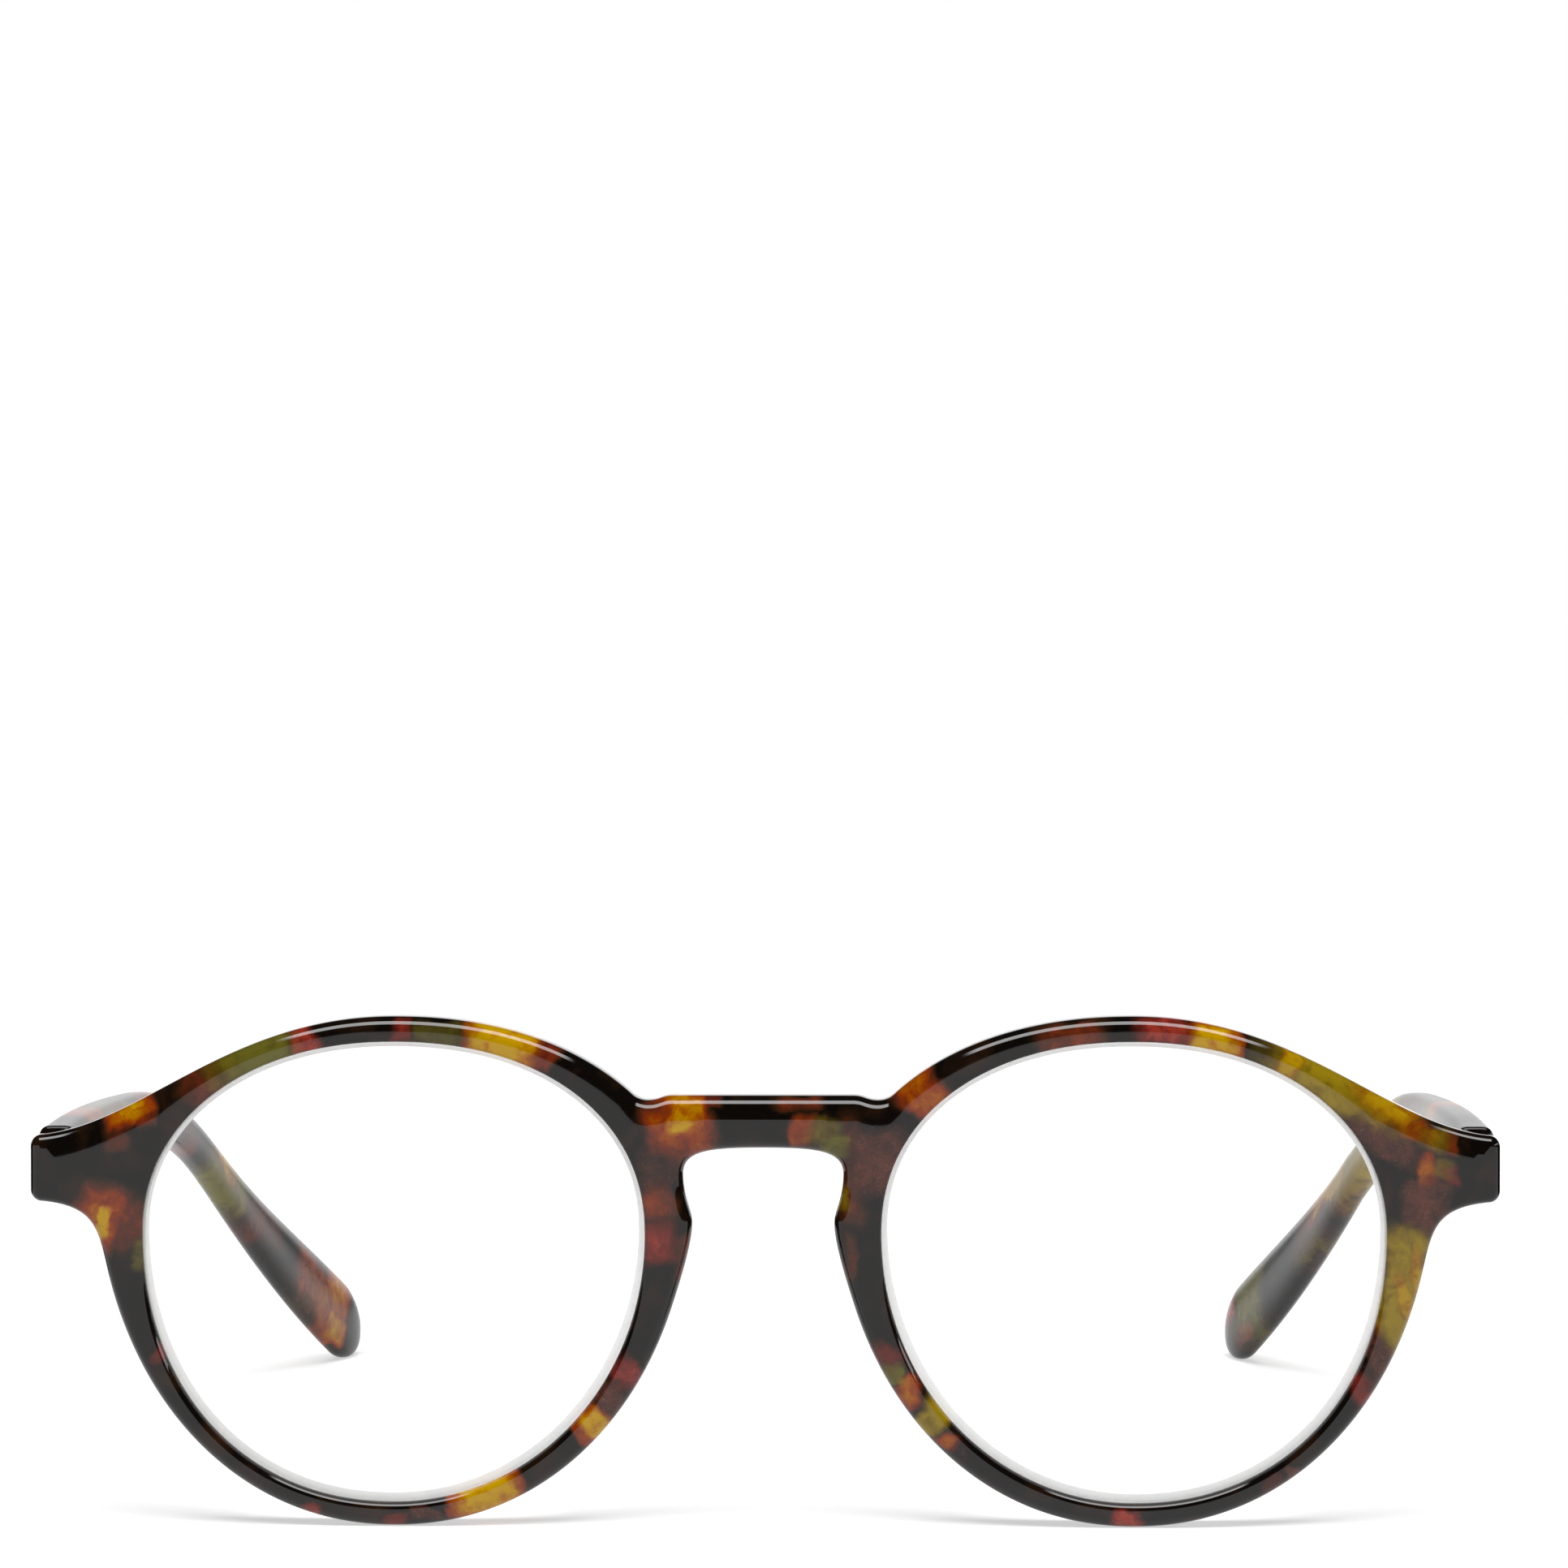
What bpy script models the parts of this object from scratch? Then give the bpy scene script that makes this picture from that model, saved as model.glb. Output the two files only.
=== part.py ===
"""Reading glasses: a round tortoiseshell front with a keyhole bridge, two lenses and two folding temples.

Metres, +Z up. The origin is the middle of the box round the part, on the table. The front faces -Y.
"Left" and "right" are those of someone who looks at the front, so the right side is at +X.
"""

import math

import bmesh
import bpy
from mathutils import Matrix, Vector

# Front, overall
FRONT_THICKNESS = 0.0040
FRONT_ROUNDING = 0.0008
REAR_ROUNDING = 0.0005

# Lens openings, each a rounded shape that is widest above its middle
LENS_GAP = 0.02254
OPENING_HALF_WIDTH = 0.02397
OPENING_RISE = 0.01833
OPENING_DROP = 0.02568
OPENING_ROUNDING = 0.0003
UPPER_NASAL_POWER = 2.18
UPPER_TEMPORAL_POWER = 2.12
LOWER_NASAL_POWER = 2.01
LOWER_TEMPORAL_POWER = 2.14

# Rims
RIM_BOTTOM = 0.0023
RIM_TOP = 0.0024
RIM_SIDE = 0.00458
RIM_SHOULDER_RISE = 0.0066
RIM_LOWER_POWER = 2.095
RIM_UPPER_POWER = 2.15
NASAL_JOIN_DROP = 0.00688
TEMPORAL_JOIN_DROP = 0.00328

# Bridge and keyhole
BRIDGE_SET_DOWN = 0.00756
BRIDGE_HEIGHT = 0.00503
BRIDGE_HALF_WIDTH = 0.0086
NOTCH_X = 0.01097
NOTCH_DEPTH = 0.00045
NOTCH_RIM_X = 0.0125
KEYHOLE_HALF_WIDTH = 0.00763
KEYHOLE_SIDE_DROP = 0.0025
NOSE_HALF_GAP = 0.00677
NOSE_DROP = 0.0072

# End pieces
END_REACH = 0.01079
END_PIECE_HEIGHT = 0.0064
END_PIECE_SET_DOWN = 0.0113
END_FACE_CORNER_RADIUS = 0.0003
END_SLOPE = 0.10

# Curve handles, as shares of each curve's chord
crown_handle_shares = (0.63, 0.28)
keyhole_handle_shares = (0.50, 0.25)
nose_handle_shares = (0.25, 0.25)
underside_handle_shares = (0.445, 0.56)
brow_handle_shares = (0.273, 0.4475)
notch_rim_handle_shares = (0.30, 0.40)
notch_bridge_handle_shares = (0.45, 0.45)

# Lens groove and lenses
GROOVE_DEPTH = 0.0008
GROOVE_SETBACK = 0.0020
LENS_EDGE = 0.0014
LENS_CLEARANCE = 0.0003
LENS_CHAMFER_WIDTH = 0.0008
LENS_CHAMFER_RISE = 0.00035
LENS_FRONT_RADIUS = 0.180
LENS_REAR_RADIUS = 0.1794

# Nose pads
PAD_HEIGHT = 0.0120
PAD_WIDTH = 0.0038
PAD_DEPTH = 0.0034
PAD_SET_IN = 0.0025
PAD_DROP = 0.0094
PAD_LEAN = math.radians(9.0)

# Temples
TEMPLE_LENGTH = 0.129017
TEMPLE_THICKNESS = 0.0038
TEMPLE_END_HEIGHT = 0.0068
TEMPLE_SHOULDER_HEIGHT = 0.0072
TEMPLE_WAIST_HEIGHT = 0.0043
TEMPLE_TIP_HEIGHT = 0.0090
TEMPLE_TIP_THICKNESS = 0.0032
TEMPLE_INSET = 0.0001
TEMPLE_RISE = 0.0003
SHOULDER_DISTANCE = 0.012
WAIST_DISTANCE = 0.075
PADDLE_DISTANCE = 0.123
BEND_START = 0.041
BEND_LENGTH = 0.046
BEND_ANGLE = math.radians(28.0)
TURN_START = 0.016
TURN_LENGTH = 0.130
TURN_ANGLE = math.radians(21.3)
TEMPLE_END_CHAMFER = 0.0004
END_SECTION_POWER = 4.5
EAR_SECTION_POWER = 2.6
TIP_THINNING_POWER = 0.32
tip_roundness_share = 1.3

# Hinges
SEAT_GAP = 0.0003
RUNNING_CLEARANCE = 0.0001
BORE_CLEARANCE = 0.00008
KNUCKLE_RADIUS = 0.0012
KNUCKLE_HEIGHT = 0.0015
KNUCKLE_GAP = 0.0002
LEAF_THICKNESS = 0.0007
LEAF_GAP = 0.0002
TONGUE_INSET = 0.0001
FRONT_LEAF_LENGTH = 0.0037
TEMPLE_LEAF_LENGTH = 0.0090
HINGE_SCREW_RADIUS = 0.00055
HINGE_SCREW_HEAD_RADIUS = 0.00095
HINGE_SCREW_HEAD_HEIGHT = 0.0004
SLOT_WIDTH = 0.0003
SLOT_DEPTH = 0.0002
LEAF_SCREW_RADIUS = 0.00045
LEAF_SCREW_HEAD_RADIUS = 0.0008
LEAF_SCREW_HEAD_HEIGHT = 0.0004
LEAF_SCREW_LENGTH = 0.0026
LEAF_SCREW_RISE = 0.0013
temple_screw_shares = (0.28, 0.78)
CUT_OVERRUN = 0.0005

# Fineness
OPENING_STEPS = 64
RIM_STEPS = 14
ROUNDING_STEPS = 2
LENS_RINGS = 4
TEMPLE_STEPS = 30
TIP_STEPS = 5
SECTION_STEPS = 16
ROUND_SIDES = 20
MERGE_DISTANCE = 0.00001

SHARP = math.radians(35)

# Colours
TORTOISE = (0.045, 0.022, 0.012)
STEEL = (0.62, 0.60, 0.57)
CLEAR = (0.95, 0.96, 0.96)

# Sizes that follow from those above
LENS_CENTRE_X = LENS_GAP / 2 + OPENING_HALF_WIDTH
FRONT_WIDTH = 2 * (LENS_CENTRE_X + OPENING_HALF_WIDTH + END_REACH)
WIDEST_Z = RIM_BOTTOM + OPENING_DROP
FRONT_HEIGHT = WIDEST_Z + OPENING_RISE + RIM_TOP
RIM_HALF_WIDTH = OPENING_HALF_WIDTH + RIM_SIDE
RIM_WIDEST_Z = WIDEST_Z + RIM_SHOULDER_RISE
LENS_CENTRE_Z = RIM_BOTTOM + (OPENING_DROP + OPENING_RISE) / 2
BRIDGE_TOP_Z = FRONT_HEIGHT - BRIDGE_SET_DOWN
BRIDGE_UNDERSIDE_Z = BRIDGE_TOP_Z - BRIDGE_HEIGHT
END_TOP_Z = FRONT_HEIGHT - END_PIECE_SET_DOWN
END_BOTTOM_Z = END_TOP_Z - END_PIECE_HEIGHT
END_CORNER_RADIUS = FRONT_ROUNDING + END_FACE_CORNER_RADIUS
HINGE_Z = (END_TOP_Z + END_BOTTOM_Z) / 2
TEMPLE_OUTER_X = FRONT_WIDTH / 2 - TEMPLE_INSET
TEMPLE_INNER_X = TEMPLE_OUTER_X - TEMPLE_THICKNESS
HINGE_X = TEMPLE_INNER_X - SEAT_GAP - KNUCKLE_RADIUS
HINGE_SETBACK = FRONT_THICKNESS + SEAT_GAP + KNUCKLE_RADIUS
TEMPLE_SETBACK = FRONT_THICKNESS + SEAT_GAP
HINGE_HEIGHT = 3 * KNUCKLE_HEIGHT + 2 * KNUCKLE_GAP

SIDES = {"left": -1, "right": 1}


# Outlines in the plane of the front, as (x, z) points


def bezier(start, start_direction, end, end_direction, handle_shares, steps):
    """Points of a cubic curve from start up to, but not including, end."""
    start = Vector(start)
    end = Vector(end)
    chord = (end - start).length
    first = start + Vector(start_direction).normalized() * chord * handle_shares[0]
    second = end - Vector(end_direction).normalized() * chord * handle_shares[1]
    points = []
    for step in range(steps):
        t = step / steps
        s = 1 - t
        points.append(start * s**3 + first * 3 * s * s * t + second * 3 * s * t * t + end * t**3)
    return points


def signed_power(value, power):
    return math.copysign(abs(value) ** power, value)


def superellipse_point(centre, half_width, half_height, power, angle):
    x = centre[0] + half_width * signed_power(math.cos(angle), 2 / power)
    z = centre[1] + half_height * signed_power(math.sin(angle), 2 / power)
    return Vector((x, z))


def angle_below(drop_share, power):
    """How far below the widest line, as an angle, a superellipse has dropped by this share of its height."""
    return math.asin(drop_share ** (power / 2))


def opening_outline():
    """The right lens opening, anticlockwise from its temporal side."""
    centre = (LENS_CENTRE_X, WIDEST_Z)
    points = []
    for step in range(OPENING_STEPS):
        angle = 2 * math.pi * step / OPENING_STEPS
        temporal = math.cos(angle) > 0
        upper = math.sin(angle) > 0
        if upper:
            power = UPPER_TEMPORAL_POWER if temporal else UPPER_NASAL_POWER
        else:
            power = LOWER_TEMPORAL_POWER if temporal else LOWER_NASAL_POWER
        half_height = OPENING_RISE if upper else OPENING_DROP
        points.append(superellipse_point(centre, OPENING_HALF_WIDTH, half_height, power, angle))
    return points


def lower_rim():
    """The outer edge of the right rim, from its nasal side under the lens to its temporal side."""
    nasal_drop = (RIM_SHOULDER_RISE + NASAL_JOIN_DROP) / RIM_WIDEST_Z
    temporal_drop = (RIM_SHOULDER_RISE + TEMPORAL_JOIN_DROP) / RIM_WIDEST_Z
    start = math.pi + angle_below(nasal_drop, RIM_LOWER_POWER)
    bottom = math.pi * 3 / 2
    end = 2 * math.pi - angle_below(temporal_drop, RIM_LOWER_POWER)
    angles = [start + (bottom - start) * step / RIM_STEPS for step in range(RIM_STEPS)]
    angles += [bottom + (end - bottom) * step / RIM_STEPS for step in range(RIM_STEPS + 1)]
    centre = (LENS_CENTRE_X, RIM_WIDEST_Z)
    return [
        superellipse_point(centre, RIM_HALF_WIDTH, RIM_WIDEST_Z, RIM_LOWER_POWER, angle) for angle in angles
    ]


def upper_rim():
    """The outer edge of the right rim, from its top to the notch beside the bridge."""
    half_height = FRONT_HEIGHT - WIDEST_Z
    across_share = (LENS_CENTRE_X - NOTCH_RIM_X) / RIM_HALF_WIDTH
    top = math.pi / 2
    end = math.pi - math.acos(across_share ** (RIM_UPPER_POWER / 2))
    angles = [top + (end - top) * step / RIM_STEPS for step in range(RIM_STEPS + 1)]
    centre = (LENS_CENTRE_X, WIDEST_Z)
    return [
        superellipse_point(centre, RIM_HALF_WIDTH, half_height, RIM_UPPER_POWER, angle) for angle in angles
    ]


def corner(centre, start_angle, steps):
    """Points of a quarter round of the end piece."""
    return [
        Vector(
            (
                centre[0] + END_CORNER_RADIUS * math.cos(start_angle + math.pi / 2 * step / steps),
                centre[1] + END_CORNER_RADIUS * math.sin(start_angle + math.pi / 2 * step / steps),
            )
        )
        for step in range(steps + 1)
    ]


def right_half_outline():
    """The front's silhouette at +X, anticlockwise from the bridge's underside to its top."""
    down = (0, -1)
    across = (1, 0)
    crown = (0, BRIDGE_UNDERSIDE_Z)
    keyhole_side = (KEYHOLE_HALF_WIDTH, BRIDGE_UNDERSIDE_Z - KEYHOLE_SIDE_DROP)
    nose = (NOSE_HALF_GAP, BRIDGE_UNDERSIDE_Z - NOSE_DROP)
    rim = lower_rim()
    corner_x = FRONT_WIDTH / 2 - END_CORNER_RADIUS
    bottom_corner = corner((corner_x, END_BOTTOM_Z + END_CORNER_RADIUS), -math.pi / 2, 3)
    top_corner = corner((corner_x, END_TOP_Z - END_CORNER_RADIUS), 0, 3)
    brow = upper_rim()
    notch = (NOTCH_X, BRIDGE_TOP_Z - NOTCH_DEPTH)
    bridge_end = (BRIDGE_HALF_WIDTH, BRIDGE_TOP_Z)

    points = bezier(crown, across, keyhole_side, down, crown_handle_shares, 7)
    points += bezier(keyhole_side, down, nose, down, keyhole_handle_shares, 4)
    points += bezier(nose, down, rim[0], rim[1] - rim[0], nose_handle_shares, 4)
    points += rim[:-1]
    points += bezier(
        rim[-1], rim[-1] - rim[-2], bottom_corner[0], (1, END_SLOPE), underside_handle_shares, 6
    )
    points += bottom_corner
    points += top_corner[:-1]
    points += bezier(top_corner[-1], (-1, END_SLOPE), brow[0], (-1, 0), brow_handle_shares, 12)
    points += brow[:-1]
    points += bezier(brow[-1], brow[-1] - brow[-2], notch, (-1, 0), notch_rim_handle_shares, 3)
    points += bezier(notch, (-1, 0), bridge_end, (-1, 0), notch_bridge_handle_shares, 3)
    points.append(Vector(bridge_end))
    points.append(Vector((0, BRIDGE_TOP_Z)))
    return points


def mirrored(points):
    """The same outline at the other side, still anticlockwise."""
    return [Vector((-point.x, point.y)) for point in reversed(points)]


def front_outline():
    right_half = right_half_outline()
    return right_half + mirrored(right_half[1:-1])


def offset_outline(points, distance):
    """A closed anticlockwise outline moved outwards, or inwards for a negative distance."""
    moved = []
    for index, point in enumerate(points):
        along = (points[(index + 1) % len(points)] - points[index - 1]).normalized()
        moved.append(point + Vector((along.y, -along.x)) * distance)
    return moved


# Mesh building


def collection_named(name):
    collection = bpy.data.collections.new(name)
    bpy.context.scene.collection.children.link(collection)
    return collection


def add_ring(mesh, points):
    return [mesh.verts.new(point) for point in points]


def join_rings(mesh, first, second):
    for index in range(len(first)):
        after = (index + 1) % len(first)
        mesh.faces.new((first[index], first[after], second[after], second[index]))


def stack_rings(mesh, rings):
    """Walls between neighbouring rings of points. Returns the first and the last ring's vertices."""
    placed = [add_ring(mesh, ring) for ring in rings]
    for first, second in zip(placed, placed[1:]):
        join_rings(mesh, first, second)
    return placed[0], placed[-1]


def ring_edges(mesh, ring):
    return [mesh.edges.get((ring[index - 1], ring[index])) for index in range(len(ring))]


def finished_object(name, mesh, collection, smooth_angle):
    bmesh.ops.recalc_face_normals(mesh, faces=mesh.faces)
    data = bpy.data.meshes.new(name)
    mesh.to_mesh(data)
    mesh.free()
    data.shade_smooth()
    data.set_sharp_from_angle(angle=smooth_angle)
    made = bpy.data.objects.new(name, data)
    collection.objects.link(made)
    return made


def as_helper(made):
    """Marks a shape that only cuts or joins another."""
    made.hide_render = True
    made.display_type = "WIRE"
    return made


def add_box(name, low, high, collection):
    mesh = bmesh.new()
    bmesh.ops.create_cube(mesh, size=1)
    size = Vector(high) - Vector(low)
    middle = (Vector(high) + Vector(low)) / 2
    bmesh.ops.scale(mesh, vec=size, verts=mesh.verts)
    bmesh.ops.translate(mesh, vec=middle, verts=mesh.verts)
    return finished_object(name, mesh, collection, SHARP)


def add_rod(name, start, end, radius, collection):
    """A cylinder between two points."""
    start = Vector(start)
    end = Vector(end)
    mesh = bmesh.new()
    bmesh.ops.create_cone(
        mesh,
        cap_ends=True,
        segments=ROUND_SIDES,
        radius1=radius,
        radius2=radius,
        depth=(end - start).length,
    )
    turn = (end - start).to_track_quat("Z", "Y").to_matrix().to_4x4()
    bmesh.ops.transform(mesh, matrix=Matrix.Translation((start + end) / 2) @ turn, verts=mesh.verts)
    return finished_object(name, mesh, collection, SHARP)


def combine(target, helper, operation):
    modifier = target.modifiers.new(helper.name, "BOOLEAN")
    modifier.operation = operation
    modifier.solver = "EXACT"
    modifier.object = as_helper(helper)


def set_material(made, colour, roughness, metallic=0.0, transmission=0.0):
    material = bpy.data.materials.new(made.name)
    material.use_nodes = True
    shader = material.node_tree.nodes["Principled BSDF"]
    shader.inputs["Base Color"].default_value = (*colour, 1)
    shader.inputs["Roughness"].default_value = roughness
    shader.inputs["Metallic"].default_value = metallic
    shader.inputs["Transmission Weight"].default_value = transmission
    made.data.materials.append(material)


# Front


def rounding_profile(radius, steps):
    """(depth, inset) pairs of a quarter round, from the face to the wall."""
    profile = []
    for step in range(steps + 1):
        angle = math.pi / 2 * step / steps
        profile.append((radius * (1 - math.cos(angle)), radius * (1 - math.sin(angle))))
    return profile


def front_profile():
    """(depth, inset) pairs over the outer edge, from the front face to the rear face."""
    front = rounding_profile(FRONT_ROUNDING, ROUNDING_STEPS)
    rear = rounding_profile(REAR_ROUNDING, ROUNDING_STEPS)
    return front + [(FRONT_THICKNESS - depth, inset) for depth, inset in reversed(rear)]


def opening_profile():
    """(depth, widening) pairs down an opening's wall, with the groove that holds the lens."""
    rounding = rounding_profile(OPENING_ROUNDING, ROUNDING_STEPS)
    groove_front = GROOVE_SETBACK - LENS_EDGE / 2 - LENS_CLEARANCE
    groove_rear = GROOVE_SETBACK + LENS_EDGE / 2 + LENS_CLEARANCE
    groove = [(groove_front, 0), (groove_front, GROOVE_DEPTH), (groove_rear, GROOVE_DEPTH), (groove_rear, 0)]
    rear = [(FRONT_THICKNESS - depth, widening) for depth, widening in reversed(rounding)]
    return rounding + groove + rear


def make_front(collection):
    mesh = bmesh.new()
    face_y = front_face_y()
    outline = front_outline()
    opening = opening_outline()
    outer_rings = [
        [(x, face_y + depth, z) for x, z in offset_outline(outline, -inset)]
        for depth, inset in front_profile()
    ]
    front_loops = []
    rear_loops = []
    stacks = [outer_rings]
    for side_opening in (opening, mirrored(opening)):
        stacks.append(
            [
                [(x, face_y + depth, z) for x, z in offset_outline(side_opening, widening)]
                for depth, widening in opening_profile()
            ]
        )
    for rings in stacks:
        first, last = stack_rings(mesh, rings)
        front_loops += ring_edges(mesh, first)
        rear_loops += ring_edges(mesh, last)
    for edges in (front_loops, rear_loops):
        bmesh.ops.triangle_fill(mesh, use_beauty=True, edges=edges)
    front = finished_object("front_frame", mesh, collection, SHARP)
    set_material(front, TORTOISE, 0.12)
    return front


def make_lens(side_name, side, collection):
    """A thin meniscus whose flange sits in the groove and whose face steps up over a chamfer."""
    opening = opening_outline()
    if side < 0:
        opening = mirrored(opening)
    centre = Vector((side * LENS_CENTRE_X, LENS_CENTRE_Z))
    flange_front = front_face_y() + GROOVE_SETBACK - LENS_EDGE / 2
    flange_rear = flange_front + LENS_EDGE
    seat = offset_outline(opening, GROOVE_DEPTH - LENS_CLEARANCE)
    neck = offset_outline(opening, -LENS_CLEARANCE)
    shoulder = offset_outline(opening, -LENS_CLEARANCE - LENS_CHAMFER_WIDTH)
    front_bulge = lens_bulge(LENS_FRONT_RADIUS)
    rear_bulge = lens_bulge(LENS_REAR_RADIUS)

    def dome(edge_y, bulge, share):
        """A ring of the shoulder shrunk to a share of its size, raised like a shallow sphere."""
        y = edge_y - bulge * (1 - share * share)
        return [(p.x, y, p.y) for p in (centre + (point - centre) * share for point in shoulder)]

    shares = [ring / LENS_RINGS for ring in range(LENS_RINGS, 0, -1)]
    face_y = flange_front - LENS_CHAMFER_RISE
    mesh = bmesh.new()
    rear_rings = [dome(flange_rear, rear_bulge, share) for share in reversed(shares)]
    flange_rings = [
        [(point.x, flange_rear, point.y) for point in neck],
        [(point.x, flange_rear, point.y) for point in seat],
        [(point.x, flange_front, point.y) for point in seat],
        [(point.x, flange_front, point.y) for point in neck],
    ]
    front_rings = [dome(face_y, front_bulge, share) for share in shares]
    first, last = stack_rings(mesh, rear_rings + flange_rings + front_rings)
    for ring, y in ((first, flange_rear - rear_bulge), (last, face_y - front_bulge)):
        middle = mesh.verts.new((centre.x, y, centre.y))
        for index in range(len(ring)):
            mesh.faces.new((ring[index - 1], ring[index], middle))
    lens = finished_object(f"{side_name}_lens", mesh, collection, SHARP)
    set_material(lens, CLEAR, 0.02, transmission=1.0)


def make_nose_pad(side_name, side, collection):
    """A rounded block bonded to the rear face of the rim, beside the nose."""
    seat_y = front_face_y() + FRONT_THICKNESS + SEAT_GAP
    mesh = bmesh.new()
    bmesh.ops.create_uvsphere(mesh, u_segments=ROUND_SIDES, v_segments=ROUND_SIDES // 2, radius=1)
    bmesh.ops.scale(mesh, vec=(PAD_WIDTH / 2, PAD_DEPTH, PAD_HEIGHT / 2), verts=mesh.verts)
    bmesh.ops.rotate(mesh, matrix=Matrix.Rotation(-side * PAD_LEAN, 3, "Y"), verts=mesh.verts)
    pad_x = side * (NOSE_HALF_GAP + PAD_SET_IN)
    pad_z = BRIDGE_UNDERSIDE_Z - PAD_DROP
    bmesh.ops.translate(mesh, vec=(pad_x, seat_y, pad_z), verts=mesh.verts)
    cut = bmesh.ops.bisect_plane(
        mesh,
        geom=mesh.verts[:] + mesh.edges[:] + mesh.faces[:],
        plane_co=(0, seat_y, 0),
        plane_no=(0, -1, 0),
        clear_outer=True,
    )
    cut_edges = [part for part in cut["geom_cut"] if isinstance(part, bmesh.types.BMEdge)]
    bmesh.ops.contextual_create(mesh, geom=cut_edges)
    pad = finished_object(f"{side_name}_nose_pad", mesh, collection, SHARP)
    set_material(pad, TORTOISE, 0.15)


# Temples


def smooth_step(value):
    """0 below 0, 1 above 1 and an even ease between."""
    value = min(max(value, 0), 1)
    return value * value * (3 - 2 * value)


def temple_stations():
    """Distances along the temple: even along its length, then closer together round the tip."""
    tip_length = TEMPLE_TIP_HEIGHT / 2 * tip_roundness_share
    shaft_end = TEMPLE_LENGTH - tip_length
    stations = [0, TEMPLE_END_CHAMFER]
    for step in range(1, TEMPLE_STEPS + 1):
        stations.append(TEMPLE_END_CHAMFER + (shaft_end - TEMPLE_END_CHAMFER) * step / TEMPLE_STEPS)
    for step in range(1, TIP_STEPS + 1):
        angle = math.pi / 2 * step / (TIP_STEPS + tip_roundness_share / 2)
        stations.append(shaft_end + tip_length * math.sin(angle))
    return stations


def temple_height(distance):
    if distance < SHOULDER_DISTANCE:
        ease = smooth_step(distance / SHOULDER_DISTANCE)
        return TEMPLE_END_HEIGHT + (TEMPLE_SHOULDER_HEIGHT - TEMPLE_END_HEIGHT) * ease
    if distance < WAIST_DISTANCE:
        ease = smooth_step((distance - SHOULDER_DISTANCE) / (WAIST_DISTANCE - SHOULDER_DISTANCE))
        return TEMPLE_SHOULDER_HEIGHT + (TEMPLE_WAIST_HEIGHT - TEMPLE_SHOULDER_HEIGHT) * ease
    ease = smooth_step((distance - WAIST_DISTANCE) / (PADDLE_DISTANCE - WAIST_DISTANCE))
    return TEMPLE_WAIST_HEIGHT + (TEMPLE_TIP_HEIGHT - TEMPLE_WAIST_HEIGHT) * ease


def temple_centreline(stations):
    """Points and directions of the right temple's middle line, from its front end."""
    fine_steps = 8
    point = Vector((TEMPLE_OUTER_X - TEMPLE_THICKNESS / 2, TEMPLE_SETBACK, HINGE_Z + TEMPLE_RISE))
    line = []
    before = 0
    for distance in stations:
        for step in range(fine_steps):
            middle = before + (distance - before) * (step + 0.5) / fine_steps
            point = point + temple_direction(middle) * (distance - before) / fine_steps
        line.append((point, temple_direction(distance)))
        before = distance
    return line


def temple_direction(distance):
    fall = BEND_ANGLE * smooth_step((distance - BEND_START) / BEND_LENGTH)
    turn = TURN_ANGLE * smooth_step((distance - TURN_START) / TURN_LENGTH)
    return Vector((-math.cos(fall) * math.sin(turn), math.cos(fall) * math.cos(turn), -math.sin(fall)))


def temple_rings():
    """Sections of the right temple, with the front's face at y = 0 and the tip resting at z = 0."""
    stations = temple_stations()
    line = temple_centreline(stations)
    tip_length = TEMPLE_TIP_HEIGHT / 2 * tip_roundness_share
    rings = []
    for distance, (point, direction) in zip(stations, line):
        ease = smooth_step((distance - SHOULDER_DISTANCE) / (WAIST_DISTANCE - SHOULDER_DISTANCE))
        half_height = temple_height(distance) / 2
        half_thickness = (TEMPLE_THICKNESS + (TEMPLE_TIP_THICKNESS - TEMPLE_THICKNESS) * ease) / 2
        power = END_SECTION_POWER + (EAR_SECTION_POWER - END_SECTION_POWER) * ease
        into_tip = max(0, 1 - (TEMPLE_LENGTH - distance) / tip_length)
        half_height *= math.sqrt(1 - into_tip**2)
        half_thickness *= (1 - into_tip**2) ** TIP_THINNING_POWER
        if distance == 0:
            half_height -= TEMPLE_END_CHAMFER
            half_thickness -= TEMPLE_END_CHAMFER
        sideways = Vector((1, 0, 0))
        sideways = (sideways - direction * sideways.dot(direction)).normalized()
        upwards = sideways.cross(direction)
        ring = []
        for step in range(SECTION_STEPS):
            angle = 2 * math.pi * (step + 0.5) / SECTION_STEPS
            across = half_thickness * signed_power(math.cos(angle), 2 / power)
            up = half_height * signed_power(math.sin(angle), 2 / power)
            ring.append(point + sideways * across + upwards * up)
        rings.append(ring)
    return settled(rings)


def settled(rings):
    """Lowers the line evenly over its fall, so that the lowest point just reaches the table."""
    middles = [sum(ring, Vector()) / len(ring) for ring in rings]
    for _ in range(4):
        lowest = min(point.z for ring in rings for point in ring)
        whole_fall = middles[0].z - middles[-1].z
        for ring, middle in zip(rings, middles):
            share = (middles[0].z - middle.z) / whole_fall
            for point in ring:
                point.z -= lowest * share
    return rings


def lens_bulge(radius):
    """How far a lens surface of this radius stands out at its middle."""
    half_width = OPENING_HALF_WIDTH - LENS_CHAMFER_WIDTH
    return half_width**2 / (2 * radius)


def front_face_y():
    """Depth of the front's face, which puts the origin halfway between the lenses and the temple tips."""
    deepest = max(point.y for ring in temple_rings() for point in ring)
    lens_face = GROOVE_SETBACK - LENS_EDGE / 2 - LENS_CHAMFER_RISE - lens_bulge(LENS_FRONT_RADIUS)
    return -(deepest + min(0, lens_face)) / 2


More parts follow.
